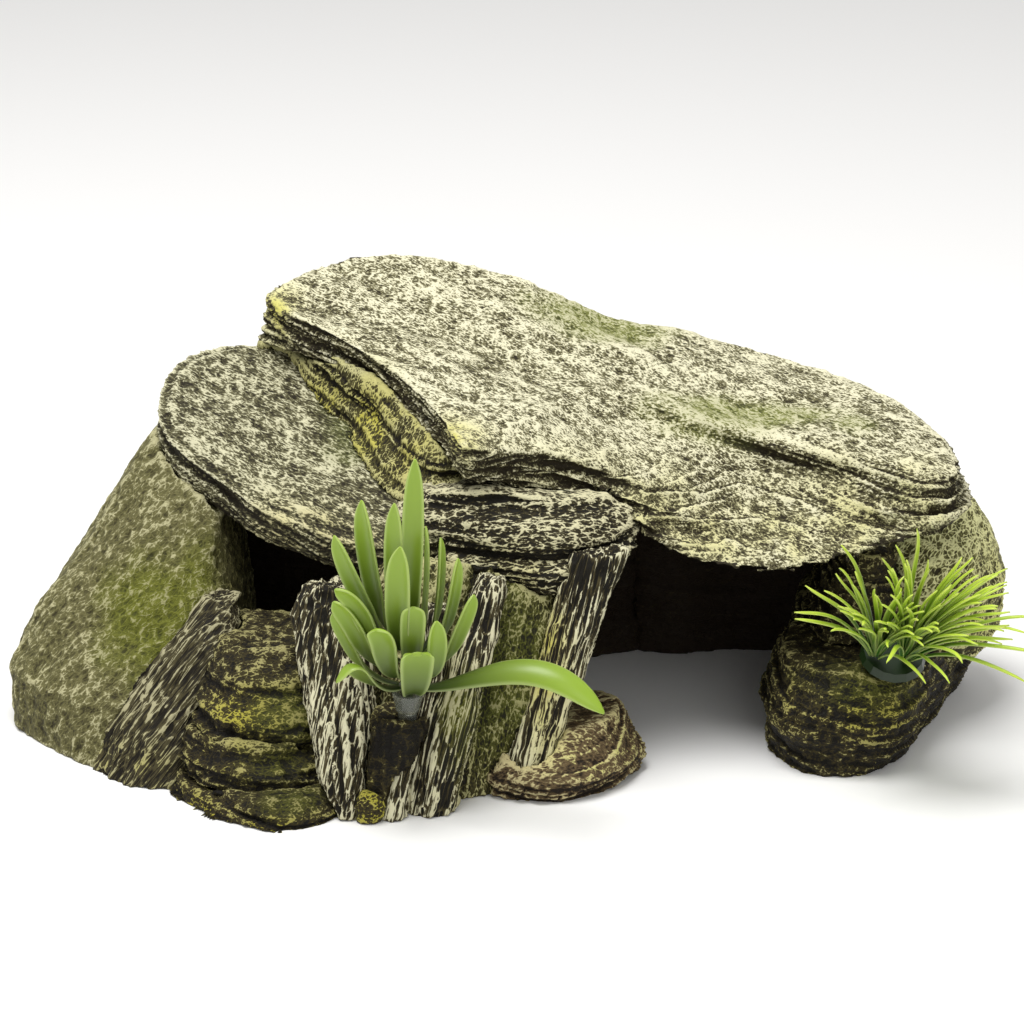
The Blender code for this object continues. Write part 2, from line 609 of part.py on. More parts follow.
def sweep_face(bm, face, path, widths, thicknesses):
    """Grow a flat blade from a face along a path, keeping its width as level as it can."""
    centre = face.calc_center_median()
    side = face.normal.cross(Vector((0, 0, 1)))
    if side.length < 1e-3:
        side = Vector((1, 0, 0)) - face.normal * face.normal.x
    side.normalize()
    rise = side.cross(face.normal)
    reach = [(corner.co - centre).dot(side) for corner in face.verts]
    lift = [(corner.co - centre).dot(rise) for corner in face.verts]
    half_width = max(abs(value) for value in reach)
    half_height = max(abs(value) for value in lift)
    spots = [(0.5 * across / half_width, 0.5 * up / half_height) for across, up in zip(reach, lift)]
    for number in range(1, len(path)):
        ahead = path[min(number + 1, len(path) - 1)] - path[number - 1]
        ahead.normalize()
        side = (side - ahead * side.dot(ahead)).normalized()
        normal = side.cross(ahead)
        grown = bmesh.ops.extrude_discrete_faces(bm, faces=[face])
        face = grown["faces"][0]
        for corner, (across, up) in zip(face.verts, spots):
            corner.co = (path[number] + side * across * widths[number] * MM
                         + normal * up * thicknesses[number] * MM)


def bend(start, knee, tip, steps):
    """Points on the curve that leaves the start toward the knee and ends at the tip."""
    shares = (k / steps for k in range(steps + 1))
    return [start * (1 - t) ** 2 + knee * 2 * t * (1 - t) + tip * t * t for t in shares]


def leaf_path(root, spread, leaf):
    """Centre line of a leaf: out from the hub, then up, and over by its bow. Lengths are in millimetres."""
    azimuth, reach, height, width, bow = leaf
    out = Vector((math.cos(math.radians(azimuth)), math.sin(math.radians(azimuth)), 0))
    start = root.calc_center_median()
    knee = start + (out * spread + Vector((0, 0, LEAF_RISE))) * MM
    tip = (out * reach + Vector((0, 0, height))) * MM
    shoulder = knee.lerp(tip, 0.5) + Vector((0, 0, bow)) * MM
    path = []
    for step in range(LEAF_STEPS + 1):
        t = step / LEAF_STEPS
        path.append(start * (1 - t) ** 3 + knee * 3 * t * (1 - t) ** 2 + shoulder * 3 * t * t * (1 - t)
                    + tip * t ** 3)
    return path


def add_whorl(name, height, spread, leaves, seat, paint):
    """A ring threaded on the stem, with a leaf grown from its side for each entry."""
    inner = STEM_RADIUS + STEM_CLEARANCE
    outer = inner + HUB_WALL
    bm = turned([(inner, height), (outer, height), (outer, height + HUB_HEIGHT), (inner, height + HUB_HEIGHT)],
                HUB_SIDES)
    free = [face for face in bm.faces if abs(face.normal.z) < 0.1
            and face.calc_center_median().to_2d().length > (inner + HUB_WALL / 2) * MM]
    for leaf in leaves:
        azimuth, width = math.radians(leaf[0]), leaf[3]
        aim = Vector((math.cos(azimuth), math.sin(azimuth)))
        root = max(free, key=lambda face: face.normal.to_2d().normalized().dot(aim))
        free.remove(root)
        root_width = math.tau * outer / HUB_SIDES
        widths = [root_width] + [width * share for share in (0.55, 0.8, 1.0, 1.0, 0.75, 0.2)]
        thicknesses = [HUB_HEIGHT] + [LEAF_THICKNESS * share for share in (1.6, 1.1, 1.0, 1.0, 0.9, 0.6)]
        sweep_face(bm, root, leaf_path(root, spread, leaf), widths, thicknesses)
    bmesh.ops.triangulate(bm, faces=bm.faces[:])
    bmesh.ops.recalc_face_normals(bm, faces=bm.faces[:])
    whorl = add_object(name, bm, paint)
    whorl.parent = seat


def add_seat(name, place, axis):
    """An empty on a plant's axis, with Z along the axis out of the rock."""
    seat = bpy.data.objects.new(name, None)
    seat.location = place
    seat.rotation_mode = 'QUATERNION'
    seat.rotation_quaternion = Vector((0, 0, 1)).rotation_difference(Vector(axis))
    bpy.context.scene.collection.objects.link(seat)
    bpy.context.view_layer.update()
    return seat


def bore(stone, seat, face_radius):
    """Drill the hole for a plug's peg and face the rock flat round its mouth."""
    mouth = PEG_RADIUS + PEG_CLEARANCE
    bottom = -PEG_LENGTH - PEG_CLEARANCE
    outer = face_radius + PEG_CLEARANCE
    drill = turned_solid([(0, bottom), (mouth, bottom), (mouth, 0), (outer, 0), (outer, SPOT_FACE_HEIGHT),
                          (0, SPOT_FACE_HEIGHT)], PEG_SIDES)
    bmesh.ops.transform(drill, matrix=seat.matrix_world, verts=drill.verts[:])
    mesh = bpy.data.meshes.new("drill")
    drill.to_mesh(mesh)
    drill.free()
    paint = stone.data.materials[0]
    cut(stone, mesh)
    stone.data.materials.clear()
    stone.data.materials.append(paint)


def add_broadleaf(paints, stones_below):
    seat = add_seat("broadleaf_seat", at(*BROADLEAF_PLACE), BROADLEAF_AXIS)
    for stone in stones_below:
        bore(stone, seat, CUP_RADIUS)
    floor = CUP_FOOT_HEIGHT + CUP_FLOOR
    plug = add_object("broadleaf_plug", turned_solid([
        (0, -PEG_LENGTH), (PEG_RADIUS, -PEG_LENGTH), (PEG_RADIUS, SEAT_GAP), (CUP_FOOT_RADIUS, CUP_FOOT_HEIGHT),
        (CUP_RADIUS, CUP_HEIGHT), (CUP_RADIUS - CUP_WALL, CUP_HEIGHT), (CUP_FOOT_RADIUS - CUP_WALL, floor),
        (0, floor)], PEG_SIDES), paints["clear"])
    plug.parent = seat
    stem = add_object("broadleaf_stem", cylinder(STEM_RADIUS, floor + BEARING_GAP, STEM_LENGTH, HUB_SIDES),
                      paints["leaf"])
    stem.parent = seat
    base = CUP_HEIGHT + BEARING_GAP
    pitch = HUB_HEIGHT + HUB_SPACER
    # Each whorl: how far its leaves first reach out, then azimuth, reach, height, width and bow of each leaf.
    whorls = [
        (10.0, [(-20, 50, 8, 7.5, 20), (-85, 11, 26, 7.5, 7), (-150, 18, 14, 7.5, 5), (172, 17, 26, 5.5, 0)]),
        (8.0, [(-2, 15.5, 33, 5.5, 0), (-48, 13, 29, 5.5, 0), (-120, 12, 31, 6.0, 3), (-172, 15, 32, 5.5, 0)]),
        (6.5, [(14, 13, 38, 5.0, 0), (45, 11, 42, 4.5, 0), (-70, 8, 34, 5.5, 3), (-155, 14, 38, 6.0, 3)]),
        (5.0, [(172, 13, 53, 6.5, 0), (146, 15, 46, 6.0, 0), (-110, 7, 47, 6.5, 0), (62, 8, 47, 5.5, 0)]),
        (2.0, [(-20, 4.5, 68, 5.5, 0), (130, 4, 56, 5.5, 0)]),
    ]
    for number, (spread, leaves) in enumerate(whorls):
        add_whorl(f"leaf_whorl_{number + 1}", base + pitch * number, spread, leaves, seat, paints["leaf"])


def add_tuft(name, place, side, aim, count, reach, seat, paint):
    """A dome of thin blades on one side of the plant: each grows from a facet and bows outward."""
    dice = random.Random(name)
    bm = bmesh.new()
    bmesh.ops.create_icosphere(bm, subdivisions=2, radius=TUFT_RADIUS * MM)
    floor = -TUFT_CUT * TUFT_RADIUS * MM
    whole = bm.verts[:] + bm.edges[:] + bm.faces[:]
    sliced = bmesh.ops.bisect_plane(bm, geom=whole, plane_co=(0, 0, floor), plane_no=(0, 0, 1), clear_inner=True)
    rim = [item for item in sliced["geom_cut"] if isinstance(item, bmesh.types.BMEdge)]
    bmesh.ops.contextual_create(bm, geom=rim)
    foot = Vector(place) * MM + Vector((0, 0, -floor))
    bmesh.ops.translate(bm, verts=bm.verts[:], vec=foot)
    bmesh.ops.recalc_face_normals(bm, faces=bm.faces[:])
    facets = [face for face in bm.faces if len(face.verts) == 3 and face.normal.z > 0.0
              and face.normal.x * side > -0.2 and face.normal.y < 0.75]
    dice.shuffle(facets)
    for facet in facets[:count]:
        way = facet.normal * 0.8 + Vector(aim)
        way.x = side * max(0.06, side * way.x)
        way.normalize()
        length = reach * dice.uniform(0.75, 1.0) * MM
        start = facet.calc_center_median()
        knee = start + (facet.normal * 0.4 + Vector((0, 0, 0.5)) + way * 0.3) * length * 0.6
        tip = start + way * length
        path = bend(start, knee, tip, BLADE_STEPS)
        widths = [BLADE_WIDTH * share for share in (1.0, 0.9, 0.8, 0.65, 0.3)]
        sweep_face(bm, facet, path, widths, widths)
    bmesh.ops.triangulate(bm, faces=bm.faces[:])
    bmesh.ops.recalc_face_normals(bm, faces=bm.faces[:])
    tuft = add_object(name, bm, paint)
    tuft.parent = seat


def add_grass(paints, leg):
    seat = add_seat("grass_seat", at(*GRASS_PLACE), GRASS_AXIS)
    bore(leg, seat, GRASS_DISC_RADIUS)
    flange_top = SEAT_GAP + FLANGE_THICKNESS
    plug = add_object("grass_plug", turned_solid([
        (0, -PEG_LENGTH), (PEG_RADIUS, -PEG_LENGTH), (PEG_RADIUS, SEAT_GAP), (FLANGE_RADIUS, SEAT_GAP),
        (FLANGE_RADIUS, flange_top), (0, flange_top)], PEG_SIDES), paints["grass_dark"])
    plug.parent = seat
    disc_low = flange_top + BEARING_GAP
    disc_top = disc_low + GRASS_DISC_HEIGHT
    disc = add_object("grass_base", cylinder(GRASS_DISC_RADIUS, disc_low, disc_top, PEG_SIDES,
                                             GRASS_DISC_TOP_RADIUS), paints["grass_dark"])
    disc.parent = seat
    top = disc_top + BEARING_GAP
    beside = TUFT_RADIUS + TUFT_SPACING / 2
    add_tuft("grass_tuft_left", (-beside, 0, top), -1, (-0.3, -0.35, 0.7), 18, 26, seat, paints["grass"])
    add_tuft("grass_tuft_right", (beside, 0, top), 1, (0.6, -0.3, 0.4), 24, 30, seat, paints["grass"])


def centre_on_floor():
    """Move everything so that the middle of the whole box stands on the origin."""
    bpy.context.view_layer.update()
    solids = [item for item in bpy.context.scene.objects if item.type == 'MESH']
    corners = [item.matrix_world @ vert.co for item in solids for vert in item.data.vertices]
    middle_x = (min(c.x for c in corners) + max(c.x for c in corners)) / 2
    middle_y = (min(c.y for c in corners) + max(c.y for c in corners)) / 2
    for item in bpy.context.scene.objects:
        if item.parent is None:
            item.location -= Vector((middle_x, middle_y, 0))
    bpy.context.view_layer.update()


def build():
    clear_scene()
    noise.seed_set(LUMP_SEED)
    paints = {
        "cream": material("cream_brushed_resin", (0.50, 0.46, 0.26), 0.75),
        "khaki": material("khaki_resin", (0.22, 0.20, 0.11), 0.75),
        "dark": material("dark_brown_resin", (0.09, 0.07, 0.05), 0.7),
        "moss": material("moss_green_resin", (0.12, 0.12, 0.03), 0.7),
        "olive": material("olive_resin", (0.14, 0.13, 0.04), 0.7),
        "ochre": material("ochre_streaked_resin", (0.33, 0.27, 0.10), 0.7),
        "brown": material("brown_resin", (0.14, 0.10, 0.06), 0.7),
        "clear": material("clear_polyethylene", (0.60, 0.62, 0.58), 0.3, 0.6),
        "leaf": material("leaf_green_polyethylene", (0.25, 0.50, 0.08), 0.45),
        "grass": material("grass_green_polyethylene", (0.22, 0.55, 0.06), 0.45),
        "grass_dark": material("dark_green_polyethylene", (0.03, 0.14, 0.04), 0.5),
    }
    add_cap_slab(paints["cream"])
    add_step_slab(paints["cream"])
    add_neck_block(paints["moss"])
    add_lintel_slab(paints["ochre"])
    add_left_side(paints)
    add_pillar(paints)
    add_right_side(paints)
    add_back_walls(paints)
    by_name = {stone.name: stone for stone, larger in stones}
    add_broadleaf(paints, [by_name["plant_pedestal"], by_name["pillar_blade"]])
    add_grass(paints, by_name["right_leg"])
    centre_on_floor()


build()
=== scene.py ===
# %% [markdown]
# # A painted resin cave with two plastic plants
# The real ornament is cast from filled polyester resin, in moulds taken off a carved rock pile. It is
# sprayed dark brown, brushed with cream paint that only touches the high spots, and then misted with green
# and yellow. The imported frame gives every stone as a plain solid. Here each stone gets its worked surface
# and its paint. The frame is in metres. The lengths in this lesson are in millimetres, and are multiplied
# by MM where Blender needs them. FINE chooses the fine skin; when it is off, the skin is coarser.

# %% Load the frame
import json
import math
import random

import bmesh
import bpy
import numpy as np
from mathutils import Matrix, Vector


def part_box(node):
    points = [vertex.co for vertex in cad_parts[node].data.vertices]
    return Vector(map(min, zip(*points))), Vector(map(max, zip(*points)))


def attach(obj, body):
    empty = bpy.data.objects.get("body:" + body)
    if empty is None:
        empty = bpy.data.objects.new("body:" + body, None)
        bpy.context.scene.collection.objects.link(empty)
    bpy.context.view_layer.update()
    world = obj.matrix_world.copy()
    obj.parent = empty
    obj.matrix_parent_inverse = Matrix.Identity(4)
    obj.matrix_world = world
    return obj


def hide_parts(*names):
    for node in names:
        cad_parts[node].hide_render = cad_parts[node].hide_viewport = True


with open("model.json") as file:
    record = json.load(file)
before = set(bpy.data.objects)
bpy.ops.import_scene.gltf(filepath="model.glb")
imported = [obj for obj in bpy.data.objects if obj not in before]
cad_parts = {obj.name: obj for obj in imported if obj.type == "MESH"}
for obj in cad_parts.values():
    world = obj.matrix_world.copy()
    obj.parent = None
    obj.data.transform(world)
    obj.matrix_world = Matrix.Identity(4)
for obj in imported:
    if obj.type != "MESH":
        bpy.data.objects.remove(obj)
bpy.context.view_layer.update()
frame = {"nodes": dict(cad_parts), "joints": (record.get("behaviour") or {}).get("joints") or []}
MM = 0.001
ROCK = "rockwork"
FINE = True

# %% [markdown]
# ## Small helpers
# Colours are written as the hex values that a screen shows, and Blender wants linear light, so one function
# changes them over. Another adds a shader node with its settings and links, which keeps each material
# short.


# %% Colour and node helpers
def linear(code):
    """A screen hex colour as linear red, green, blue and alpha."""
    parts = [int(code[k:k + 2], 16) / 255 for k in (1, 3, 5)]
    return tuple(c / 12.92 if c <= 0.04045 else ((c + 0.055) / 1.055) ** 2.4 for c in parts) + (1.0,)


def add(tree, kind, settings=None, **inputs):
    """Add a shader node; an input is a value, or another node's output to link."""
    node = tree.nodes.new("ShaderNode" + kind)
    for key, value in (settings or {}).items():
        setattr(node, key, value)
    for key, value in inputs.items():
        socket = next(s for s in node.inputs if s.enabled and s.identifier.replace(" ", "_") == key)
        if isinstance(value, bpy.types.NodeSocket):
            tree.links.new(value, socket)
        else:
            socket.default_value = value
    return node


def out(node, name=None):
    """A node's output by its identifier, or the first one that is in use."""
    return next(s for s in node.outputs if s.enabled and (name is None or s.identifier == name))


def start_material(name):
    """A new material, its node tree and its Principled shader."""
    made = bpy.data.materials.new(name)
    made.use_nodes = True
    tree = made.node_tree
    shader = tree.nodes["Principled BSDF"]
    print("material", name)
    return made, tree, shader


# %% [markdown]
# ## Noise on points
# A carved surface is easier to control on the points of the mesh than in a shader, because the relief then
# also says where the brush touches. The noise is smooth random values on a lattice. The same point always
# gets the same value, so the rock comes out the same each time. The large whole numbers only stir the
# digits.


# %% Lattice noise
def lattice(corner, seed):
    """A repeatable value from 0 to 1 for each whole-numbered corner. Another seed gives other values."""
    c = corner.astype(np.int64)
    mixed = c[:, 0] * 374761393 + c[:, 1] * 668265263 + c[:, 2] * 1274126177 + seed * 1013904223
    mixed = (mixed ^ (mixed >> 13)) * 1103515245 & 0x7FFFFFFF
    mixed = (mixed ^ (mixed >> 15)) * 22695477 & 0x7FFFFFFF
    return ((mixed >> 7) & 0xFFFF) / 65535.0


def cloud(points, size, seed, octaves=1):
    """Smooth noise from -1 to 1. The size is the distance between its lumps, in millimetres."""
    total = np.zeros(len(points))
    weight, weights = 1.0, 0.0
    for octave in range(octaves):
        place = points / size + 37.3 * octave
        low = np.floor(place)
        share = place - low
        share = share * share * (3 - 2 * share)
        value = np.zeros(len(points))
        for corner in range(8):
            step = np.array([corner & 1, corner >> 1 & 1, corner >> 2 & 1])
            part = np.prod(np.where(step, share, 1 - share), axis=1)
            value += part * lattice(low + step, seed + 101 * octave)
        total += weight * (2 * value - 1)
        weights += weight
        weight *= 0.5
        size *= 0.5
    return total / weights


def cells(points, size, seed):
    """Distance to the nearest of many scattered points, in cells: 0 at a point, about 1 between them."""
    place = points / size
    low = np.floor(place)
    nearest = np.full(len(points), np.inf)
    for corner in range(27):
        step = np.array([corner % 3 - 1, corner // 3 % 3 - 1, corner // 9 - 1])
        cell = low + step
        spot = cell + np.stack([lattice(cell, seed + k) for k in (1, 2, 3)], axis=1)
        nearest = np.minimum(nearest, np.linalg.norm(place - spot, axis=1))
    return nearest


def stretched(points, direction, ratio):
    """Points squeezed along a direction, so that noise on them runs in long streaks that way."""
    along = np.array(Vector(direction).normalized())
    return points - np.outer(points @ along, along) * (1 - 1 / ratio)


# %% [markdown]
# ## From a plain solid to a worked stone
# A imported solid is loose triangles, so a copy is merged first. A voxel remesh gives it an even skin of
# small squares, and a short smoothing takes off the facets. Then each point moves along its normal by the
# relief. The relief is a sum of what a carver would cut: broad lumps, layers, grain lines and pits.

# %% Even skin
VOXEL = 0.62 if FINE else 1.3
SMOOTH_ROUNDS = 5 if FINE else 3
MERGE = 0.01


def plain_skin(node, voxel):
    """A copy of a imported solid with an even, lightly smoothed skin."""
    bm = bmesh.new()
    bm.from_mesh(frame["nodes"][node].data)
    bmesh.ops.remove_doubles(bm, verts=bm.verts[:], dist=MERGE * MM)
    mesh = bpy.data.meshes.new(node + "_plain")
    bm.to_mesh(mesh)
    bm.free()
    draft = bpy.data.objects.new("draft", mesh)
    bpy.context.scene.collection.objects.link(draft)
    skin = draft.modifiers.new("even skin", 'REMESH')
    skin.mode = 'VOXEL'
    skin.voxel_size = voxel * MM
    ease = draft.modifiers.new("ease", 'SMOOTH')
    ease.factor = 0.5
    ease.iterations = SMOOTH_ROUNDS
    graph = bpy.context.evaluated_depsgraph_get()
    result = bpy.data.meshes.new_from_object(draft.evaluated_get(graph))
    bpy.data.objects.remove(draft)
    bpy.data.meshes.remove(mesh)
    return result


def read_points(mesh):
    """The points of a mesh as rows of x, y and z in millimetres."""
    points = np.zeros(len(mesh.vertices) * 3)
    mesh.vertices.foreach_get("co", points)
    return points.reshape(-1, 3) / MM


def read_normals(mesh):
    """The direction that the skin faces at each point."""
    normals = np.zeros(len(mesh.vertices) * 3)
    mesh.vertices.foreach_get("normal", normals)
    return normals.reshape(-1, 3)


def write_points(mesh, points):
    """Put rows of x, y and z in millimetres back on a mesh."""
    mesh.vertices.foreach_set("co", (points * MM).astype(np.float32).ravel())
    mesh.update()


def read_edges(mesh):
    """The numbers of the two points at the ends of every edge."""
    ends = np.zeros(len(mesh.edges) * 2, dtype=np.int64)
    mesh.edges.foreach_get("vertices", ends)
    return ends.reshape(-1, 2)


def spread(values, edges, rounds):
    """Blur a value over the mesh: each round averages a point with its neighbours."""
    count = np.bincount(edges.ravel(), minlength=len(values))
    for _ in range(rounds):
        near = np.bincount(edges[:, 0], values[edges[:, 1]], len(values))
        near += np.bincount(edges[:, 1], values[edges[:, 0]], len(values))
        values = 0.5 * values + 0.5 * near / np.maximum(count, 1)
    return values


# %% [markdown]
# ## Relief recipes
# Slabs split in layers, shards have long grain, boulders have lumps and scratches. One function reads a
# recipe, so that every kind of stone comes from the same few cuts. A recipe's numbers are in millimetres:
# - `lump`, `layer`, `grain` and `pit` are the sizes of the cuts, and each has a depth beside it;
# - `layer_axis` is the way the layers are stacked, and `layer_top` the share of them that shows on flat
#   faces;
# - `grain_axis` is the way the grain runs, and `grain_ratio` how many times longer than wide it is;
# - `crumb_depth` is the roughness of the cast, and `swell` moves the whole skin out to close a joint;
# - `shade_side` points to the side that is darkened as painted shade, where the cave is in shadow.

# %% Relief
LAYER_WAVES = ((30, 1.8, 0), (9, 0.6, 1), (3, 0.25, 4))
LAYER_SHIFT = 7.31
STAND_SIZE = 22
STEEP_FROM = 0.2
STEEP_OVER = 0.45
PIT_PATCH_SIZE = 11
CRUMB_SIZE = 3.2
DUST_SIZE = 1.5


def unit(direction):
    """A direction as an array of length 1."""
    return np.array(Vector(direction).normalized())


def shelves(points, axis, thickness, seed):
    """Stacked layers across an axis: each leans out to a crisp upper edge and then drops back.

    Waves bend the layers, and each layer stands out by its own amount, which changes along it."""
    height = points @ unit(axis)
    for size, depth, offset in LAYER_WAVES:
        height = height + depth * cloud(points, size, seed + offset)
    height = height / thickness
    number = np.floor(height)
    share = height - number
    stand = cloud(points / STAND_SIZE + np.outer(number * LAYER_SHIFT, [1, 1, 1]), 1.0, seed + 2)
    return share ** 2 - 0.4 + 1.3 * stand


def grain(points, axis, width, ratio, seed):
    """Long sharp ridges that run along an axis."""
    lines = stretched(points, axis, ratio)
    wide = 1 - 2.4 * np.abs(cloud(lines, width, seed))
    fine = 1 - 2.4 * np.abs(cloud(lines, width * 0.5, seed + 5))
    return 0.65 * wide + 0.35 * fine - 0.4


def relief_of(points, normals, recipe, open_layers, seed):
    """How far each point stands out of the plain stone, in millimetres.

    The layers show on steep faces, and where open_layers is near 1."""
    flat = np.abs(normals @ unit(recipe.get("layer_axis", (0, 0, 1))))
    steep = 1 - np.clip((flat - STEEP_FROM) / STEEP_OVER, 0, 1)
    steep = np.maximum(steep, open_layers)
    total = recipe.get("swell", 0.0) + recipe["lump_depth"] * cloud(points, recipe["lump"], seed, 2)
    if "layer" in recipe:
        layers = shelves(points, recipe["layer_axis"], recipe["layer"], seed + 11)
        thin = shelves(points, recipe["layer_axis"], recipe["layer"] * 0.4, seed + 17)
        share = recipe.get("layer_top", 0.12)
        total += recipe["layer_depth"] * (share + (1 - share) * steep) * (0.7 * layers + 0.3 * thin)
    if "grain" in recipe:
        ratio = recipe.get("grain_ratio", 8)
        ridges = grain(points, recipe["grain_axis"], recipe["grain"], ratio, seed + 23)
        total += recipe["grain_depth"] * ridges
    if "pit" in recipe:
        hollow = np.clip(0.6 - cells(points, recipe["pit"], seed + 37), 0, 1) / 0.6
        patches = np.clip(0.5 + 1.2 * cloud(points, PIT_PATCH_SIZE, seed + 41), 0, 1)
        total -= recipe["pit_depth"] * hollow * patches * (0.3 + 0.7 * steep)
    crumbs = 0.5 - np.abs(cloud(points, CRUMB_SIZE, seed + 53)) * 1.6
    crumbs = crumbs + 0.5 * cloud(points, DUST_SIZE, seed + 59)
    total += recipe.get("crumb_depth", 0.25) * crumbs
    return total


def spots_of(points, node, spots):
    """Soft round masks. Each has its place as shares of the node's box, its half sizes and its strength."""
    low, high = (np.array(corner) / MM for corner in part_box(node))
    total = np.zeros(len(points))
    for place, half, strength in spots:
        centre = low + (high - low) * np.array(place)
        away = (points - centre) / np.array(half)
        total = np.maximum(total, strength * np.exp(-np.sum(away * away, axis=1)))
    return total


# %% [markdown]
# ## Where the paint goes
# Dry brushing leaves paint on what stands out. How much a point stands out is how far it lies outside the
# average of its neighbours, so the mesh is compared with blurred copies of itself. The result is stored on
# the mesh as attributes, which the paint reads: raised, top, moss, gold and shade. Shade is painted shade:
# it is also set on faces that look down and on faces towards the cave. Each stone also takes lists of soft
# spots: moss and gold tint the paint, shade darkens it as painted shade, split opens the layers, and worn
# rubs the shape.

# %% Stone maker
WEAR_ROUNDS = 110 if FINE else 30
TOP_ROUNDS = 8
NEAR_ROUNDS = 4
FAR_ROUNDS = 25
SMALL_WEIGHT = 2.2
BROAD_WEIGHT = 0.35
FLOOR_EASE = 1.5


def blurred(points, edges, rounds):
    """Points moved towards the average of their neighbours, so that bumps sink away."""
    return np.stack([spread(points[:, k], edges, rounds) for k in range(3)], axis=1)


def store(mesh, name, values):
    """Keep a value from 0 to 1 for each point, under a name that a material can read."""
    layer = mesh.attributes.new(name, 'FLOAT', 'POINT')
    layer.data.foreach_set("value", np.clip(values, 0, 1).astype(np.float32))


def worked_stone(node, recipe, paint, moss=(), gold=(), shade=(), split=(), worn=(), seed=0, voxel=1.0):
    """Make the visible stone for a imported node, and paint it."""
    mesh = plain_skin(node, voxel * VOXEL)
    points = read_points(mesh)
    edges = read_edges(mesh)
    if worn:
        rubbed = blurred(points, edges, WEAR_ROUNDS)
        points += spots_of(points, node, worn)[:, None] * (rubbed - points)
        write_points(mesh, points)
    normals = read_normals(mesh)
    relief = relief_of(points, normals, recipe, spots_of(points, node, split), seed)
    moved = points + normals * relief[:, None]
    # The relief fades out just above the floor, so that the stone still stands on its packed foot.
    above_floor = np.clip(points[:, 2] / FLOOR_EASE, 0, 1)
    moved[:, 2] = np.maximum(points[:, 2] + (moved[:, 2] - points[:, 2]) * above_floor, 0)
    write_points(mesh, moved)
    top = np.clip((spread(normals[:, 2], edges, TOP_ROUNDS) - 0.15) / 0.5, 0, 1)
    normals = read_normals(mesh)
    smooth = blurred(moved, edges, NEAR_ROUNDS)
    wide = blurred(smooth, edges, FAR_ROUNDS)
    small = np.sum((moved - smooth) * normals, axis=1)
    broad = np.sum((smooth - wide) * normals, axis=1)
    store(mesh, "raised", 0.5 + np.clip(SMALL_WEIGHT * small + BROAD_WEIGHT * broad, -0.5, 0.5))
    store(mesh, "top", top)
    store(mesh, "moss", spots_of(moved, node, moss))
    store(mesh, "gold", spots_of(moved, node, gold))
    # Painted shade: faces that look down, and faces towards shade_side, are darkened where shadow falls under
    # the stone and inside the cave.
    shade_below = -normals[:, 2] * 1.5 - 0.3
    shade_in_cave = normals @ np.array(recipe.get("shade_side", (0, 0, 0)))
    painted_shade_faces = np.maximum(shade_below, shade_in_cave)
    store(mesh, "shade", np.maximum(spots_of(moved, node, shade), painted_shade_faces))
    mesh.shade_smooth()
    mesh.materials.clear()
    mesh.materials.append(paint)
    stone = bpy.data.objects.new(node + "_rock", mesh)
    bpy.context.scene.collection.objects.link(stone)
    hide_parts(node)
    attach(stone, ROCK)
    print(f"{stone.name}: {len(mesh.polygons)} faces, relief {relief.min():.2f} to {relief.max():.2f} mm")


# %% [markdown]
# ## Painted resin
# The cast is filled polyester resin. Its paint is three coats: a dark brown wash in the hollows, a
# grey-brown body colour, and a cream brush coat on what stands out. Green and yellow mist lie over all three.
# The paint is matt, and a little satin where the dark wash is thick. The grit of the casting is about half
# a millimetre across. A material adds up one number, the level, from noise and from what the mesh says
# about its bumps. The level alone decides which coat shows.

# %% Rock paint
LEVEL_START = 0.4
RAISED_WEIGHT = 0.6
SHADE_WEIGHT = -0.45
BLOT_SIZE = 3.2
PATCH_SIZE = 14
WARP_SIZE = 2.5
WARP = 1.6
LINE_NARROW = 0.02
LINE_WIDE = 0.17
SMOOTHSTEP = {"interpolation_type": 'SMOOTHSTEP'}


def math_node(tree, operation, a, b, clamp=False):
    """The output of a Math node."""
    return out(add(tree, "Math", {"operation": operation, "use_clamp": clamp}, Value=a, Value_001=b))


def ramp(tree, value, low, high):
    """0 below low and 1 above high, with a soft step between."""
    step = add(tree, "MapRange", SMOOTHSTEP, Value=value, From_Min=low, From_Max=high)
    return out(step, "Result")


def mix(tree, share, a, b):
    """Colour a where the share is 0 and colour b where it is 1."""
    mixed = add(tree, "Mix", {"data_type": 'RGBA'}, Factor_Float=share, A_Color=a, B_Color=b)
    return out(mixed, "Result_Color")


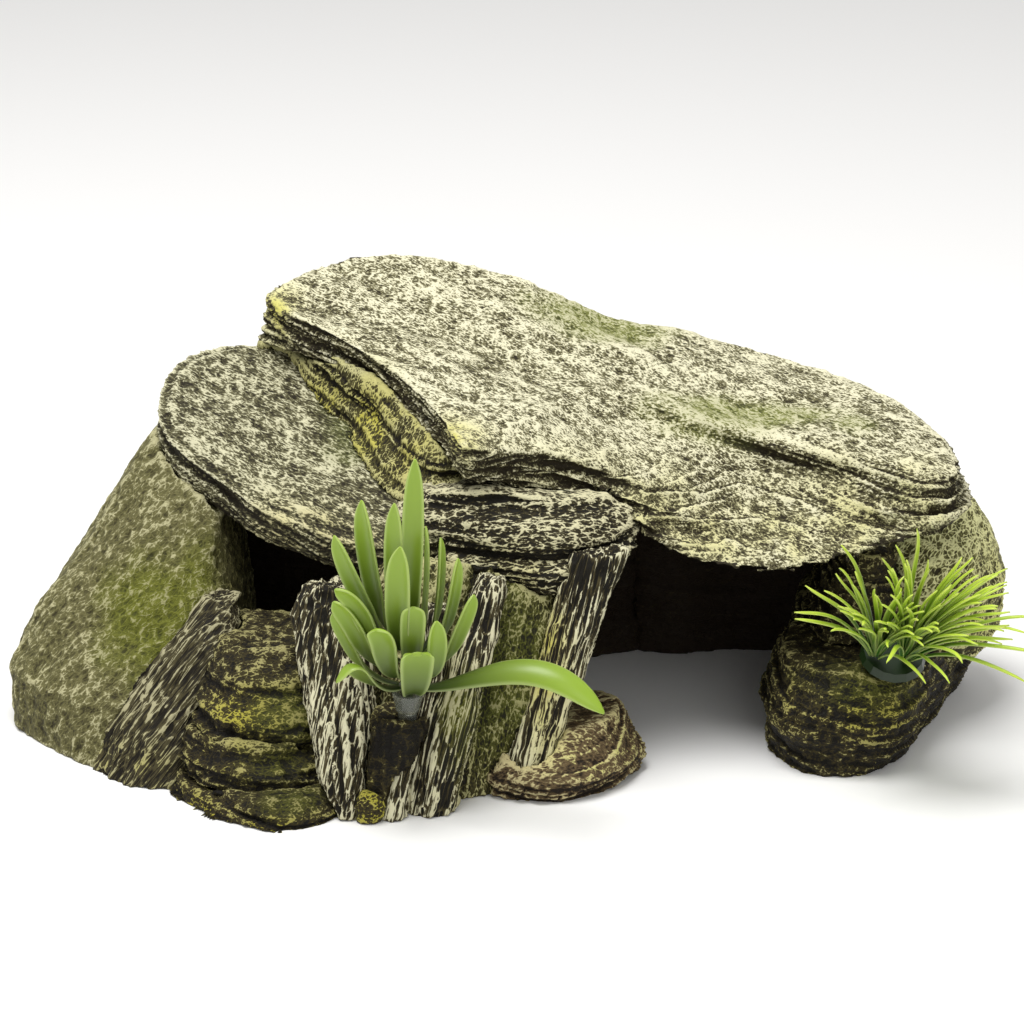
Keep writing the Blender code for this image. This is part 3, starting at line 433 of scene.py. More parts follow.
def painted_resin(name, wash, body, brush, moss="#6E7126", gold="#CDB832", moss_deep="#2A2C07", speck=0.6,
                  streak=1.0, direction=(1, 0, 0), body_at=0.95, brush_at=1.2, top_gain=0.1, lace=0.3,
                  pit=1.2, patchy=0.3, gritty=0.9, blotchy=0.6, soft=0.08, gloss=0.74, bump=0.35):
    """Rock paint in three coats.

    The body colour shows where the level passes body_at, and the brush coat where it passes brush_at. The
    level is about 0.95 on a plain face when patchy is 0.3, and goes up by half of what patchy is above that.
    gritty, blotchy and patchy say how far fine, middling and large noise move the level. lace lifts it along
    thin lines between cells, and top_gain lifts it on faces that look up. speck is the size of the grit and
    pit that of the cells, in millimetres. streak draws the noise out along direction, soft blurs the edges of
    the coats, gloss is the roughness between them, and bump the height of the grit."""
    made, tree, shader = start_material(name)
    coords = out(add(tree, "TexCoord"), "Object")
    turn = Vector((1, 0, 0)).rotation_difference(Vector(direction)).to_euler()
    place = out(add(tree, "Mapping", {"vector_type": 'TEXTURE'}, Vector=coords, Rotation=turn,
                    Scale=(streak, 1, 1)))
    grit = add(tree, "TexNoise", Vector=place, Scale=1 / (speck * MM), Detail=4.0, Roughness=0.65)
    grit = out(grit, "Fac")
    blot = out(add(tree, "TexNoise", Vector=place, Scale=1 / (BLOT_SIZE * MM), Detail=2.0), "Fac")
    warp = out(add(tree, "TexNoise", Vector=place, Scale=1 / (WARP_SIZE * MM), Detail=2.0), "Color")
    warp = out(add(tree, "VectorMath", {"operation": 'MULTIPLY_ADD'}, Vector=warp,
                   Vector_001=(WARP * MM / streak, WARP * MM, WARP * MM), Vector_002=place))
    border = add(tree, "TexVoronoi", {"feature": 'DISTANCE_TO_EDGE'}, Vector=warp, Scale=1 / (pit * MM))
    lines = math_node(tree, "SUBTRACT", 1.0, ramp(tree, out(border), LINE_NARROW, LINE_WIDE))
    patch = add(tree, "TexNoise", Vector=coords, Scale=1 / (PATCH_SIZE * MM), Detail=4.0, Roughness=0.6)
    patch = out(patch, "Fac")
    raised, top, mossy, golden, shaded = (out(add(tree, "Attribute", {"attribute_name": key}), "Fac")
                                          for key in ("raised", "top", "moss", "gold", "shade"))
    level = math_node(tree, "MULTIPLY", grit, gritty)
    level = math_node(tree, "ADD", level, LEVEL_START - 0.5 * (gritty + blotchy))
    # The shade attribute lowers the level towards the dark wash: painted shade.
    for value, weight in ((blot, blotchy), (raised, RAISED_WEIGHT), (patch, patchy), (top, top_gain),
                          (lines, lace), (shaded, SHADE_WEIGHT)):
        level = out(add(tree, "Math", {"operation": 'MULTIPLY_ADD'}, Value=value, Value_001=weight,
                        Value_002=level))
    body_share = ramp(tree, level, body_at - 2 * soft, body_at + 2 * soft)
    brush_share = ramp(tree, level, brush_at - soft, brush_at + soft)
    ground = mix(tree, body_share, linear(wash), linear(body))
    gold_share = math_node(tree, "MULTIPLY", golden, ramp(tree, patch, 0.3, 0.6), True)
    colour = mix(tree, brush_share, ground, mix(tree, gold_share, linear(brush), linear(gold)))
    moss_share = math_node(tree, "MULTIPLY", ramp(tree, math_node(tree, "ADD", mossy, patch), 0.55, 1.25),
                           ramp(tree, mossy, 0.02, 0.25))
    green = mix(tree, body_share, linear(moss_deep), linear(moss))
    green = mix(tree, math_node(tree, "MULTIPLY", brush_share, 0.5), green, linear(brush))
    colour = mix(tree, math_node(tree, "MULTIPLY", moss_share, 0.9), colour, green)
    tree.links.new(colour, shader.inputs["Base Color"])
    shader.inputs["Specular IOR Level"].default_value = 0.25
    shine = add(tree, "MapRange", Value=level, From_Min=body_at - 0.2, From_Max=brush_at,
                To_Min=gloss - 0.14, To_Max=gloss + 0.14)
    tree.links.new(out(shine, "Result"), shader.inputs["Roughness"])
    height = math_node(tree, "ADD", grit, math_node(tree, "MULTIPLY", lines, 0.35))
    relief = add(tree, "Bump", Height=height, Strength=1.0, Distance=bump * MM)
    tree.links.new(out(relief), shader.inputs["Normal"])
    return made


# %% [markdown]
# ## Eleven paints
# The same resin carries all the paints. The slabs on top are brushed most, so they are cream with dark
# specks. The shards are streaked along their grain, the ledges are dark and mossy, and the back is hardly
# brushed.

# %% Paints of the slabs and shards
cream_top = painted_resin("cream_brushed_resin", "#261F0C", "#7A7552", "#EAE5C4", moss="#878C46",
                          gold="#CDC63C", moss_deep="#3E4218", speck=0.42, streak=2.4,
                          direction=(0.8, -0.6, 0), body_at=0.95, brush_at=1.18, top_gain=0.22, lace=0.18,
                          gritty=1.8, blotchy=0.7, soft=0.1, bump=0.3)
cream_step = painted_resin("grey_cream_brushed_resin", "#1F190A", "#6E6A4A", "#D6D2B0", moss="#6F7440",
                           speck=0.45, streak=3.2, direction=(0.75, -0.65, 0), body_at=0.96, brush_at=1.18,
                           top_gain=0.14, lace=0.18, gritty=1.6, blotchy=0.8, soft=0.12)
dark_cream = painted_resin("dark_resin_with_cream_grain", "#110D03", "#4A4228", "#DED9B6", gold="#C6BC40",
                           speck=0.4, streak=22.0, direction=(0.22, 0.35, 0.9), body_at=1.2, brush_at=1.43,
                           lace=0.34, pit=1.1, patchy=0.75, gritty=1.1, blotchy=0.6)
dark_lace = painted_resin("dark_resin_with_cream_lace", "#110D03", "#3F381F", "#D9D3AC", gold="#C6BC40",
                          speck=0.42, streak=2.4, body_at=0.94, brush_at=1.13, lace=0.2, gritty=1.2)
dull_grain = painted_resin("dark_khaki_resin_with_grain", "#171206", "#4A442B", "#B0AA86", gold="#B5AE40",
                           speck=0.45, streak=16.0, direction=(0.62, 0.3, 0.72), body_at=1.18, brush_at=1.46,
                           lace=0.28, pit=1.1, patchy=0.7, gritty=1.1, blotchy=0.6)

# %% [markdown]
# The boulders are khaki, with little dark between the brush marks. The two mossy paints differ in how much
# the brush left: the ledges and the right leg have little, and the neck and the pillar's core have more.

# %% Paints of the boulders, ledges and back
khaki = painted_resin("khaki_brushed_resin", "#2E2910", "#6D6941", "#BAB58C", moss="#6C7022", gold="#A9A03A",
                      moss_deep="#3B3E0C", speck=0.6, streak=1.8, direction=(0.7, 0, 0.7), body_at=0.86,
                      brush_at=1.16, lace=0.16, soft=0.12)
pale_khaki = painted_resin("yellow_khaki_brushed_resin", "#2E290E", "#7E7B4A", "#DEDCA2", gold="#D4D070",
                           speck=0.5, streak=1.8, direction=(0.7, 0, 0.7), body_at=0.9, brush_at=1.05,
                           lace=0.24, soft=0.1)
mossy_dark = painted_resin("mossy_dark_resin", "#0F0B03", "#393218", "#A39C68", moss="#4C4E16",
                           gold="#BDB42A", moss_deep="#171704", speck=0.45, streak=1.5, body_at=1.08,
                           brush_at=1.4, lace=0.2, patchy=0.6, gritty=1.1, blotchy=0.8)
mossy_cream = painted_resin("mossy_resin_with_yellow_brush", "#151005", "#4F4A26", "#C4BF8A",
                            moss="#565A1E", gold="#C4BB2E", moss_deep="#1C1C06", speck=0.45, streak=2.2,
                            direction=(0.2, 0, 1), body_at=0.96, brush_at=1.19, lace=0.2, patchy=0.5,
                            gritty=1.0)
plain_brown = painted_resin("plain_brown_resin", "#1F1508", "#66553A", "#CBBE8E", gold="#D6D676", speck=0.6,
                            streak=2.0, body_at=0.9, brush_at=1.15, lace=0.14)
back_rock = painted_resin("dull_brown_resin_behind", "#2A2014", "#463D26", "#8C8560", speck=0.6, streak=1.8,
                          body_at=1.0, brush_at=1.25, lace=0.2)

# %% [markdown]
# ## The slabs on top
# The cap and the step are split slabs. Their layers show on the edges as thin shelves with pits between,
# and the top has faint steps where a layer ends, so the layer cut is strong on the sides and weak on top.
# The layers lie along each slab, so the stacking axis leans with it. The cap's front is rubbed down before
# it is cut again, which takes away the plain solid's sharp edge.

# %% Cap slab and step slab
CAP_TILT = (0.09, -0.23, 0.97)
STEP_TILT = (0.18, -0.36, 0.92)
cap = {"lump": 22, "lump_depth": 0.8, "layer": 3.4, "layer_depth": 2.0, "layer_axis": CAP_TILT,
       "layer_top": 0.10, "grain": 7.0, "grain_depth": 0.4, "grain_axis": (0.8, -0.6, -0.2),
       "pit": 2.6, "pit_depth": 0.9, "crumb_depth": 0.3}
worked_stone("cap_slab", cap, cream_top,
             moss=[((0.50, 0.79, 0.8), (18, 11, 20), 0.9), ((0.70, 0.42, 0.5), (22, 8, 20), 0.95),
                   ((0.85, 0.38, 0.5), (9, 6, 20), 0.6)],
             gold=[((0.02, 0.70, 0.85), (7, 14, 12), 0.9), ((0.13, 0.36, 0.78), (9, 12, 9), 0.9),
                   ((0.27, 0.10, 0.60), (10, 9, 8), 1.0), ((0.7, 0.03, 0.3), (55, 15, 14), 0.75)],
             # Painted shade: the shade spot darkens the cap's steep front band.
             shade=[((0.70, 0.04, 0.3), (50, 14, 14), 0.2)],
             worn=[((0.70, 0.28, 0.5), (34, 15, 30), 1.0)],
             split=[((0.62, 0.05, 0.3), (34, 14, 14), 1.0), ((0.9, 0.15, 0.3), (20, 16, 14), 1.0)],
             seed=3)
step = {"lump": 18, "lump_depth": 0.7, "layer": 2.8, "layer_depth": 1.1, "layer_axis": STEP_TILT,
        "layer_top": 0.12, "pit": 2.4, "pit_depth": 0.4, "grain": 3.2, "grain_depth": 0.22,
        "grain_axis": (0.75, -0.65, -0.1)}
worked_stone("step_slab", step, cream_step, moss=[((0.62, 0.6, 0.6), (9, 16, 20), 0.8)],
             gold=[((0.5, 0.1, 0.2), (40, 12, 10), 0.4)], seed=9)

# %% [markdown]
# The neck fills the gap between the cap and the step, and the lintel lies on the pillar. In the casting
# they are one body with the slabs, so their skins swell a little to close the joints.

# %% Neck and lintel under the cap
worked_stone("neck_block", {"swell": 0.3, "lump": 12, "lump_depth": 1.1, "layer": 3.6, "layer_depth": 1.8,
                            "layer_axis": CAP_TILT, "pit": 2.6, "pit_depth": 0.7},
             mossy_cream, moss=[((0.3, 0.5, 0.1), (14, 26, 9), 0.9)],
             gold=[((0.45, 0.4, 0.5), (30, 30, 9), 0.9)], seed=15)
worked_stone("lintel_slab", {"swell": 0.3, "lump": 12, "lump_depth": 0.8, "layer": 3.0, "layer_depth": 1.5,
                             "layer_axis": (0, -0.1, 1), "pit": 2.4, "pit_depth": 0.7},
             dark_lace, gold=[((0.5, 0.1, 0.2), (20, 10, 6), 0.4)], seed=21)

# %% [markdown]
# ## Boulders, ledges and pillar
# The boulder is one lump with scratches, and the buttress beside it a slanted shard with long grain. The
# ledges in front are layered like the slabs, and darker, because the brush only touches their edges. They
# share one recipe, and each has its own seed, so that no two look alike.

# %% Left side
boulder = {"lump": 20, "lump_depth": 1.6, "grain": 4.5, "grain_depth": 0.5, "grain_ratio": 5,
           "grain_axis": (0.7, 0.2, 0.7), "pit": 2.4, "pit_depth": 0.35, "crumb_depth": 0.4}
worked_stone("left_boulder", boulder, khaki,
             moss=[((0.62, 0.25, 0.47), (14, 22, 14), 1.0), ((0.78, 0.3, 0.62), (7, 12, 12), 0.7)],
             gold=[((0.97, 0.3, 0.55), (5, 20, 14), 0.9)], seed=27)
buttress = {"lump": 10, "lump_depth": 1.1, "grain": 3.0, "grain_depth": 0.9, "grain_axis": (0.62, 0.3, 0.72),
            "pit": 2.6, "pit_depth": 0.5, "crumb_depth": 0.4}
worked_stone("left_buttress", buttress, dull_grain, gold=[((0.3, 0.2, 0.05), (14, 14, 8), 0.6)], seed=33)
ledge = {"lump": 9, "lump_depth": 1.1, "layer": 3.2, "layer_depth": 1.4, "layer_axis": (0.1, -0.1, 1),
         "pit": 2.6, "pit_depth": 0.8, "crumb_depth": 0.5}
worked_stone("ledge_upper", ledge, mossy_dark, moss=[((0.7, 0.2, 0.3), (12, 14, 9), 0.7)],
             gold=[((0.5, 0.1, 0.35), (16, 10, 6), 0.9)], seed=39)
worked_stone("ledge_middle", ledge, mossy_dark, moss=[((0.6, 0.2, 0.5), (12, 12, 9), 0.6)],
             gold=[((0.4, 0.1, 0.6), (14, 10, 4), 0.9)], seed=45)
worked_stone("ledge_apron", ledge, mossy_dark, moss=[((0.7, 0.2, 0.8), (12, 12, 4), 0.6)],
             gold=[((0.4, 0.1, 0.1), (34, 20, 3), 1.0)], seed=51)

# %% [markdown]
# The pillar is a bundle of leaning shards that carries the lintel, with a pedestal for the broad-leaf plant
# in front of it. Bark or split slate would be cast this way. The grain runs up each shard, so every recipe
# has its own grain axis. The shards' tops are darkened with painted shade, where the lintel overhangs them.

# %% Pillar
def shard(axis, width=2.0, depth=0.9):
    """A shard's recipe: grain along its own lean."""
    return {"lump": 9, "lump_depth": 1.0, "grain": width, "grain_depth": depth, "grain_axis": axis,
            "grain_ratio": 14, "pit": 2.2, "pit_depth": 0.4, "crumb_depth": 0.2}


foot = {"lump": 10, "lump_depth": 1.2, "layer": 3.6, "layer_depth": 1.5, "layer_top": 0.3,
        "layer_axis": (0.1, -0.3, 0.95), "pit": 2.6, "pit_depth": 0.7}
cobble = {"lump": 4, "lump_depth": 0.4, "pit": 2.0, "pit_depth": 0.4}
# Painted shade at the top of the shards, under the lintel.
SHADE_UNDER_LINTEL = [((0.5, 0.6, 1.0), (12, 14, 8), 0.7)]
worked_stone("splinter_shard", shard((-0.09, 0.45, 0.9)), dark_cream, shade=SHADE_UNDER_LINTEL, seed=57)
worked_stone("pillar_core", shard((0.2, 0.35, 0.92), 4.0, 0.7), mossy_cream,
             moss=[((0.6, 0.2, 0.6), (18, 20, 26), 0.9)],
             gold=[((0.7, 0.3, 0.1), (10, 14, 10), 0.7)], seed=63)
worked_stone("pillar_column", shard((0.33, 0.28, 0.9)), dark_cream,
             gold=[((0.35, 0.4, 0.6), (5, 12, 30), 0.9)], shade=SHADE_UNDER_LINTEL, seed=69)
worked_stone("pillar_rib", shard((0.25, 0.4, 0.88)), dark_cream,
             moss=[((0.6, 0.3, 0.4), (8, 14, 18), 0.6)],
             gold=[((0.6, 0.3, 0.3), (6, 12, 20), 0.6)], shade=SHADE_UNDER_LINTEL, seed=75)
worked_stone("pillar_blade", shard((0.22, 0.4, 0.9)), dark_cream, shade=SHADE_UNDER_LINTEL, seed=81)
# The pedestal's shade spot is painted shade, standing in for the dark hollow between the shards.
worked_stone("plant_pedestal", shard((0.05, 0.05, 1.0), 3.0, 0.8), mossy_dark,
             gold=[((0.1, 0.2, 0.6), (3, 8, 8), 0.8)], shade=[((0.5, 0.1, 0.7), (9, 9, 16), 0.5)], seed=87)
worked_stone("base_cobble", cobble, mossy_dark, gold=[((0.5, 0.3, 0.6), (6, 6, 6), 1.0)], seed=93)
worked_stone("pillar_foot", foot, plain_brown, gold=[((0.85, 0.2, 0.6), (14, 18, 5), 0.9)], seed=99)

# %% [markdown]
# On the right a layered leg and a post carry the cap, and a boulder sits behind the grass. The back is
# three broad walls with thick layers. Their inner sides are darkened with painted shade, since the cave is
# in shadow, and they are made with a coarser skin, because they are seen least.

# %% Right side and back
round_boulder = {"lump": 14, "lump_depth": 1.4, "pit": 2.8, "pit_depth": 0.6, "crumb_depth": 0.4,
                 "layer": 5.5, "layer_depth": 0.8, "layer_axis": (0.3, -0.2, 0.9)}
worked_stone("right_boulder", round_boulder, pale_khaki,
             gold=[((0.9, 0.3, 0.3), (12, 20, 12), 0.6)], seed=105)
worked_stone("right_leg", dict(ledge, lump=15, lump_depth=2.4, layer=4.2, layer_depth=1.1), mossy_dark,
             moss=[((0.4, 0.1, 0.9), (16, 12, 8), 0.7)],
             gold=[((0.4, 0.05, 0.7), (20, 12, 7), 0.8)], seed=111)
worked_stone("right_post", dict(ledge, lump=12, lump_depth=1.4, layer=5.0), mossy_dark, seed=117)
# shade_side paints the walls' cave sides dark: painted shade.
wall = {"swell": 0.9, "lump": 14, "lump_depth": 2.4, "layer": 6.0, "layer_depth": 1.3,
        "layer_axis": (0.15, 0, 1), "pit": 3.6, "pit_depth": 0.8, "shade_side": (0, -2, 0)}
WALL_VOXEL = 1.4
for number, node in enumerate(("back_wall_left", "back_wall_middle", "back_wall_right")):
    worked_stone(node, wall, back_rock, seed=123 + 6 * number, voxel=WALL_VOXEL)

# %% [markdown]
# ## Plants
# Both plants are soft moulded polyethylene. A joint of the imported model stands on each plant's own axis, so
# the plants are made on that axis with Z along the stem, and turned into place at the end. Light enters the
# plastic and comes out a millimetre away, more green than red and hardly blue. The plugs are clear or
# green.

# %% Plastic for leaves
def leaf_plastic(name, base, tip, rim_highlight, glow=0.25, rough=0.38):
    """Moulded polyethylene: light goes a little way in.

    The colour runs from base to tip along the leaf, and the darker base is painted shade among the leaves.
    Its edges are a little nearer to rim_highlight, a painted highlight."""
    made, tree, shader = start_material(name)
    along = out(add(tree, "Attribute", {"attribute_name": "along"}), "Fac")
    across = out(add(tree, "Attribute", {"attribute_name": "across"}), "Fac")
    coords = out(add(tree, "TexCoord"), "Object")
    cloudy = out(add(tree, "TexNoise", Vector=coords, Scale=1 / (5 * MM), Detail=2.0))
    # Painted shade: each leaf darkens towards its root.
    share = add(tree, "MapRange", SMOOTHSTEP, Value=along, From_Min=0.1, From_Max=1.0)
    colour = mix(tree, out(share, "Result"), linear(base), linear(tip))
    # Painted highlight: the edges lighten towards rim_highlight.
    edge = add(tree, "MapRange", SMOOTHSTEP, Value=across, From_Min=0.7, From_Max=1.0, To_Max=0.3)
    colour = mix(tree, out(edge, "Result"), colour, linear(rim_highlight))
    tree.links.new(colour, shader.inputs["Base Color"])
    shader.inputs["Roughness"].default_value = rough
    shader.inputs["IOR"].default_value = 1.51
    shader.inputs["Subsurface Weight"].default_value = glow
    shader.inputs["Subsurface Radius"].default_value = (1.0, 1.2, 0.3)
    shader.inputs["Subsurface Scale"].default_value = 1.5 * MM
    relief = add(tree, "Bump", Height=cloudy, Strength=0.3, Distance=0.15 * MM)
    tree.links.new(out(relief), shader.inputs["Normal"])
    return made


# Each plastic's first colour is its root, darkened as painted shade, and its third is the rim's painted
# highlight.
leaf_green = leaf_plastic("leaf_green_polyethylene", "#2F3F0C", "#93B035", "#D6E39A", glow=0.12)
grass_green = leaf_plastic("grass_green_polyethylene", "#2A5A10", "#C6E04A", "#E6F496", glow=0.3)
root_green, _, root_shader = start_material("dark_green_polyethylene")
root_shader.inputs["Base Color"].default_value = linear("#16290C")
root_shader.inputs["Roughness"].default_value = 0.4
clear_plastic, _, clear_shader = start_material("clear_polyethylene")
clear_shader.inputs["Base Color"].default_value = linear("#B4B8AC")
clear_shader.inputs["Roughness"].default_value = 0.25
clear_shader.inputs["IOR"].default_value = 1.51
clear_shader.inputs["Transmission Weight"].default_value = 0.85


def seat_of(joint_name):
    """The matrix that puts a plant made along Z on its joint's axis."""
    joint = next(one for one in frame["joints"] if one["name"] == joint_name)
    turn = Vector((0, 0, 1)).rotation_difference(Vector(joint["axis"]))
    return Matrix.Translation(Vector(joint["pos_m"])) @ turn.to_matrix().to_4x4()


# %% [markdown]
# ## A leaf
# A moulded leaf is a thin strip with a shallow gutter down its middle, round at the tip. It starts as a
# flat grid. Each row of the grid is carried to its place on a smooth curve and scaled to the leaf's width
# there.

# %% Leaf maker
LOOK_AHEAD = 0.02
TIP_POWER = 2.4
NARROWEST = 0.06


def curve_through(start, knee, shoulder, tip, t):
    """A point on the smooth Bezier curve from start to tip that leans on the two points between."""
    return (start * (1 - t) ** 3 + knee * 3 * t * (1 - t) ** 2
            + shoulder * 3 * t * t * (1 - t) + tip * t ** 3)


def add_blade(bm, line, width, rows, columns, gutter, root_share=0.4, fullest=0.6, twist=0.0):
    """Grow one leaf in a bmesh on a line, which gives a point for a share from 0 to 1.

    The width is in millimetres. root_share is the share of it at the root, and fullest says where along the
    leaf it is reached. gutter is how deep the leaf folds for its width. The twist, in degrees, is complete
    half way along."""
    along_layer = bm.verts.layers.float.get("along") or bm.verts.layers.float.new("along")
    across_layer = bm.verts.layers.float.get("across") or bm.verts.layers.float.new("across")
    grid = bmesh.ops.create_grid(bm, x_segments=columns, y_segments=rows, size=0.5)["verts"]
    side = None
    frames = []
    for row in range(rows + 1):
        t = row / rows
        ahead = (line(min(1, t + LOOK_AHEAD)) - line(max(0, t - LOOK_AHEAD))).normalized()
        if side is None:
            side = ahead.cross(Vector((0, 0, 1)))
            side = side.normalized() if side.length > 1e-3 else Vector((1, 0, 0))
            first = line(0.0)
            if side.cross(Vector((first.x, first.y, 0))).z > 0:
                side = -side
        side = (side - ahead * side.dot(ahead)).normalized()
        if t < fullest:
            swell = root_share + (1 - root_share) * math.sin(math.pi / 2 * t / fullest)
        else:
            swell = math.sqrt(max(0.0, 1 - ((t - fullest) / (1.0 - fullest)) ** TIP_POWER))
        across = Matrix.Rotation(math.radians(twist) * min(1.0, 2 * t), 3, ahead) @ side
        frames.append((line(t), across, across.cross(ahead), width * max(swell, NARROWEST)))
    for vert in grid:
        row = round((vert.co.y + 0.5) * rows)
        u = vert.co.x * 2
        place, across, up, wide = frames[row]
        vert[along_layer] = row / rows
        vert[across_layer] = abs(u)
        vert.co = (place + across * u * wide / 2 + up * (gutter * wide * u * u)) * MM


def finish_plant_piece(bm, name, seat, body, paint, replaced, thickness, levels=1):
    """Turn a plant piece into place, give its leaves their thickness in millimetres and let it ride."""
    bmesh.ops.transform(bm, matrix=seat, verts=bm.verts[:])
    mesh = bpy.data.meshes.new(name)
    bm.to_mesh(mesh)
    bm.free()
    mesh.shade_smooth()
    mesh.materials.append(paint)
    piece = bpy.data.objects.new(name, mesh)
    bpy.context.scene.collection.objects.link(piece)
    solid = piece.modifiers.new("thickness", 'SOLIDIFY')
    solid.thickness = thickness * MM
    solid.offset = 0
    solid.use_even_offset = False
    if levels:
        round_off = piece.modifiers.new("round", 'SUBSURF')
        round_off.levels = levels
        round_off.render_levels = levels
    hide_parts(*replaced)
    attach(piece, body)
    print(f"{name}: {len(mesh.polygons)} faces before they get their thickness")


# %% [markdown]
# ## The broad-leaf plant
# Its leaves stand in whorls that are threaded on a thin stem. The lowest whorl spreads widest, and one of
# its leaves arches far out to the right. The list gives each whorl's first step outward and then its
# leaves: the direction in degrees, how far out and how high the tip is, the width, how far the middle bows
# up, how far the tip curls down, and the twist in degrees that turns its face to the front.

# %% Broad leaves
HUB_RADIUS = 2.8
HUB_STEP = 3.6
FIRST_HUB = 6.3
CURL_FROM = 0.62
CURL_OVER = 0.38
LEAF_ROWS = 18
LEAF_COLUMNS = 6
LEAF_THICKNESS = 0.6
WHORLS = [
    (10.0, [(-19, 47, 13, 7.2, 18, 2, 28), (-80, 9, 27, 8.0, 6, 5, 0), (-150, 17, 17, 7.0, 9, 4, 30),
            (172, 17, 27, 5.5, 0, 2, 50)]),
    (8.0, [(3, 13.5, 34, 4.8, 0, 2, -55), (-48, 9, 29, 5.0, 0, 0, -20), (-122, 12, 34, 6.4, 4, 5, 20),
           (-170, 16.5, 34, 5.8, 3, 3, 55)]),
    (6.5, [(18, 11, 40, 4.8, 0, 0, -55), (42, 8.5, 44, 4.6, 0, 0, -60), (-85, 6, 37, 6.0, 4, 4, 0),
           (-160, 16, 41, 5.8, 4, 5, 45)]),
    (5.0, [(176, 18, 46, 5.8, 0, 0, 60), (162, 12.5, 54, 6.6, 0, 0, 65), (-112, 7, 48, 6.4, 0, 0, 0),
           (62, 6, 47, 5.0, 0, 0, -60)]),
    (2.0, [(-90, 1.5, 68, 5.2, 0, 0, 0), (-150, 5, 57, 4.8, 0, 0, 40)]),
]
broadleaf_seat = seat_of("broadleaf_turn")


def leaf_line(azimuth, reach, height, bow, curl, spread_out, hub_height):
    """The middle line of a leaf in the plant's own frame."""
    outward = Vector((math.cos(math.radians(azimuth)), math.sin(math.radians(azimuth)), 0))
    start = outward * (HUB_RADIUS - 0.8) + Vector((0, 0, hub_height + 1.2))
    knee = start + outward * spread_out + Vector((0, 0, 1.0))
    tip = outward * reach + Vector((0, 0, height))
    shoulder = knee.lerp(tip, 0.5) + Vector((0, 0, bow))

    def line(t):
        droop = max(0.0, t - CURL_FROM) / CURL_OVER
        return (curve_through(start, knee, shoulder, tip, t) - Vector((0, 0, curl * droop ** 2))
                + outward * curl * 0.5 * droop)
    return line


for number, (spread_out, leaves) in enumerate(WHORLS):
    bm = bmesh.new()
    hub_height = FIRST_HUB + HUB_STEP * number
    for azimuth, reach, height, width, bow, curl, twist in leaves:
        line = leaf_line(azimuth, reach, height, bow, curl, spread_out, hub_height)
        add_blade(bm, line, width, LEAF_ROWS, LEAF_COLUMNS, gutter=0.2, root_share=0.26, fullest=0.7,
                  twist=twist)
    name = f"leaf_whorl_{number + 1}"
    finish_plant_piece(bm, name + "_leaves", broadleaf_seat, "broadleaf_crown", leaf_green, [name],
                       LEAF_THICKNESS)

# %% [markdown]
# ## The grass plant
# It is a tuft of thin blades moulded as two clumps on one base. No two blades are alike on the real one, so
# each takes its direction, length, width and wave by chance. The dice start from the clump's name, so every
# run throws the same. The list gives each clump's place on the base, how far it leans left and right, its
# number of blades and the longest blade.

# %% Grass
grass_seat = seat_of("grass_turn")
GRASS_ROWS = 12
GRASS_COLUMNS = 2
GRASS_THICKNESS = 0.4
CLUMPS = [
    ("grass_tuft_left", (-4.5, -2), (-0.65, 0.25), 36, 33),
    ("grass_tuft_right", (2.0, -2), (-0.35, 0.8), 66, 37),
]


def grass_line(start, outward, way, length, wave, phase):
    """The middle line of a blade that leaves its root along outward and ends along way."""
    knee = start + (outward * 0.4 + Vector((0, 0, 0.5)) + way * 0.3) * length * 0.36
    tip = start + way * length
    shoulder = knee.lerp(tip, 0.5) + Vector((0, 0, 0.10 * length))
    sideways = way.cross(Vector((0, 0, 1))).normalized()

    def line(t):
        return curve_through(start, knee, shoulder, tip, t) + sideways * wave * t * math.sin(phase + 7 * t)
    return line


for name, (x, y), (most_left, most_right), count, reach in CLUMPS:
    dice = random.Random(name)
    bm = bmesh.new()
    foot = Vector((x, y, 3.2))
    for number in range(count):
        across = most_left + (most_right - most_left) * (number + dice.random()) / count
        way = Vector((across, dice.uniform(-0.6, 0.2), dice.uniform(0.4, 1.15))).normalized()
        outward = Vector((way.x, way.y, abs(way.z) + 0.3)).normalized()
        length = reach * dice.uniform(0.72, 1.0)
        line = grass_line(foot + outward * 2.4, outward, way, length, dice.uniform(0.3, 1.3),
                          dice.uniform(0, math.tau))
        add_blade(bm, line, dice.uniform(0.8, 1.25), GRASS_ROWS, GRASS_COLUMNS, gutter=0.25, root_share=0.8,
                  fullest=0.3)
    finish_plant_piece(bm, name + "_blades", grass_seat, "grass_crown", grass_green, [name],
                       GRASS_THICKNESS, levels=0)

# %% [markdown]
# ## Stem, base and plugs
# These are plain turned shapes in the real plants too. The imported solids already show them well, so they
# keep their shape and only get their plastic.

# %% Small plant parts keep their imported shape
for node, paint in (("broadleaf_stem", leaf_green), ("grass_base", root_green), ("grass_plug", root_green),
                    ("broadleaf_plug", clear_plastic)):
    frame["nodes"][node].data.materials.clear()
    frame["nodes"][node].data.materials.append(paint)
    print(node, "is made of", paint.name)

# %% [markdown]
# ## Floor and light
# The ornament stands on white paper under a large soft light from above, with weak shadows. A weaker light
# from the front right fills the dark sides, and a white room gives the rest.

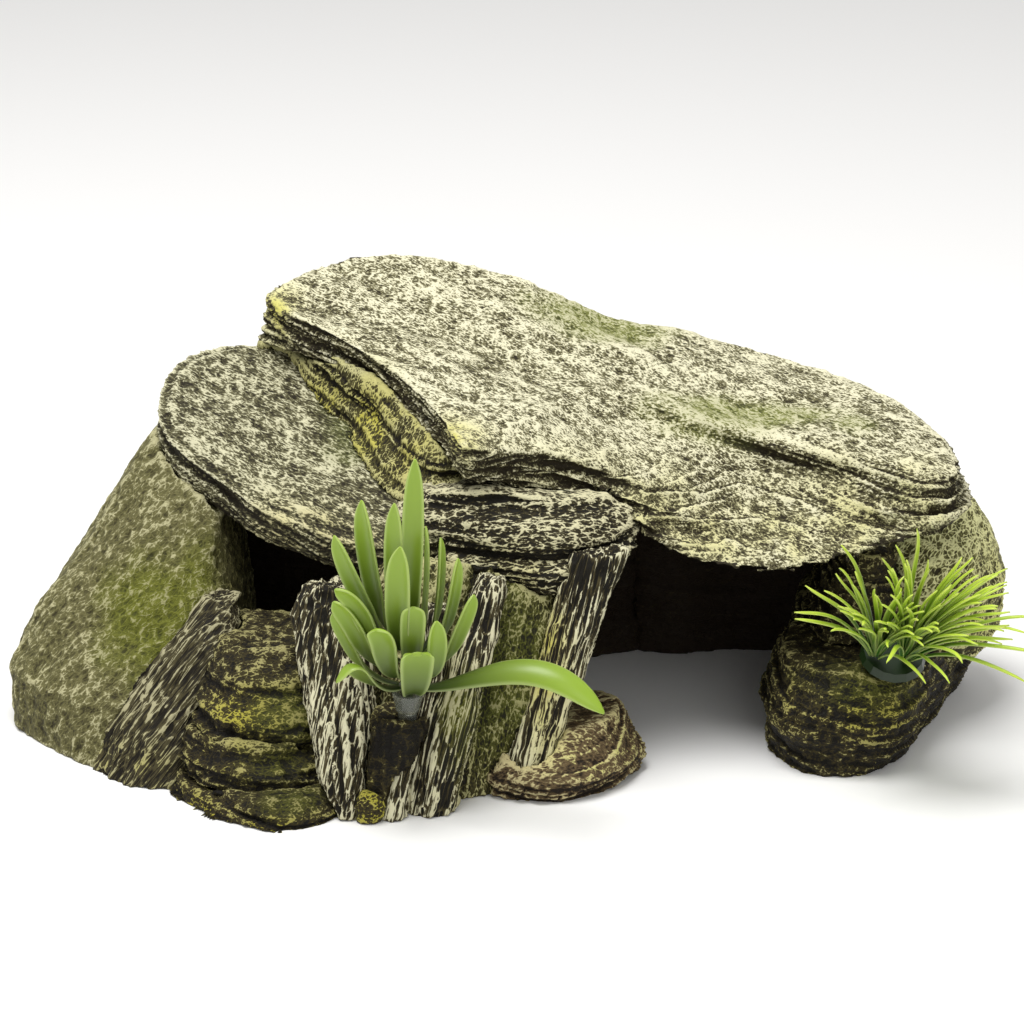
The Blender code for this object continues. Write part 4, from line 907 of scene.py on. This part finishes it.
# %% Stage
FLOOR_HALF = 3.0
ROOM_LIGHT = 0.5
bm = bmesh.new()
bmesh.ops.create_grid(bm, x_segments=1, y_segments=1, size=FLOOR_HALF)
floor_mesh = bpy.data.meshes.new("floor")
bm.to_mesh(floor_mesh)
bm.free()
floor = bpy.data.objects.new("floor", floor_mesh)
bpy.context.scene.collection.objects.link(floor)
paper, _, paper_shader = start_material("white_paper")
paper_shader.inputs["Base Color"].default_value = linear("#FAF9F7")
paper_shader.inputs["Roughness"].default_value = 0.9
floor_mesh.materials.append(paper)


def area_light(name, place, target, size, power):
    """A round soft light at a place, aimed at a target. The lengths are in metres and the power in watts."""
    light = bpy.data.lights.new(name, 'AREA')
    light.shape = 'DISK'
    light.size = size
    light.energy = power
    lamp = bpy.data.objects.new(name, light)
    lamp.location = place
    lamp.rotation_euler = (Vector(target) - Vector(place)).to_track_quat('-Z', 'Y').to_euler()
    bpy.context.scene.collection.objects.link(lamp)
    print(name, power, "watts")


area_light("softbox_above", (-0.2, -0.1, 1.1), (0, 0, 0.04), 0.7, 11.0)
area_light("softbox_front", (0.5, -1.1, 0.7), (0, 0, 0.05), 0.7, 2.0)
world = bpy.data.worlds.new("studio")
bpy.context.scene.world = world
world.use_nodes = True
background = world.node_tree.nodes["Background"]
background.inputs["Color"].default_value = (1, 1, 1, 1)
background.inputs["Strength"].default_value = ROOM_LIGHT
bpy.context.scene.view_settings.view_transform = 'Standard'

# %% [markdown]
# ## Camera
# It looks down by 20 degrees from 0.9 m away, with a long lens, so that the ornament fills the picture and
# its sides lean together only a little.

# %% Camera
CAMERA_RISE = math.radians(20)
CAMERA_DISTANCE = 0.9
AIM = Vector((-0.001, 0.0063, 0.0536))
camera = bpy.data.cameras.new("camera")
camera.sensor_width = 36
camera.lens = 129
viewer = bpy.data.objects.new("camera", camera)
viewer.location = AIM + CAMERA_DISTANCE * Vector((0, -math.cos(CAMERA_RISE), math.sin(CAMERA_RISE)))
viewer.rotation_euler = (math.pi / 2 - CAMERA_RISE, 0, 0)
bpy.context.scene.collection.objects.link(viewer)
bpy.context.scene.camera = viewer
print("camera", CAMERA_DISTANCE, "m away, lens", camera.lens, "mm")
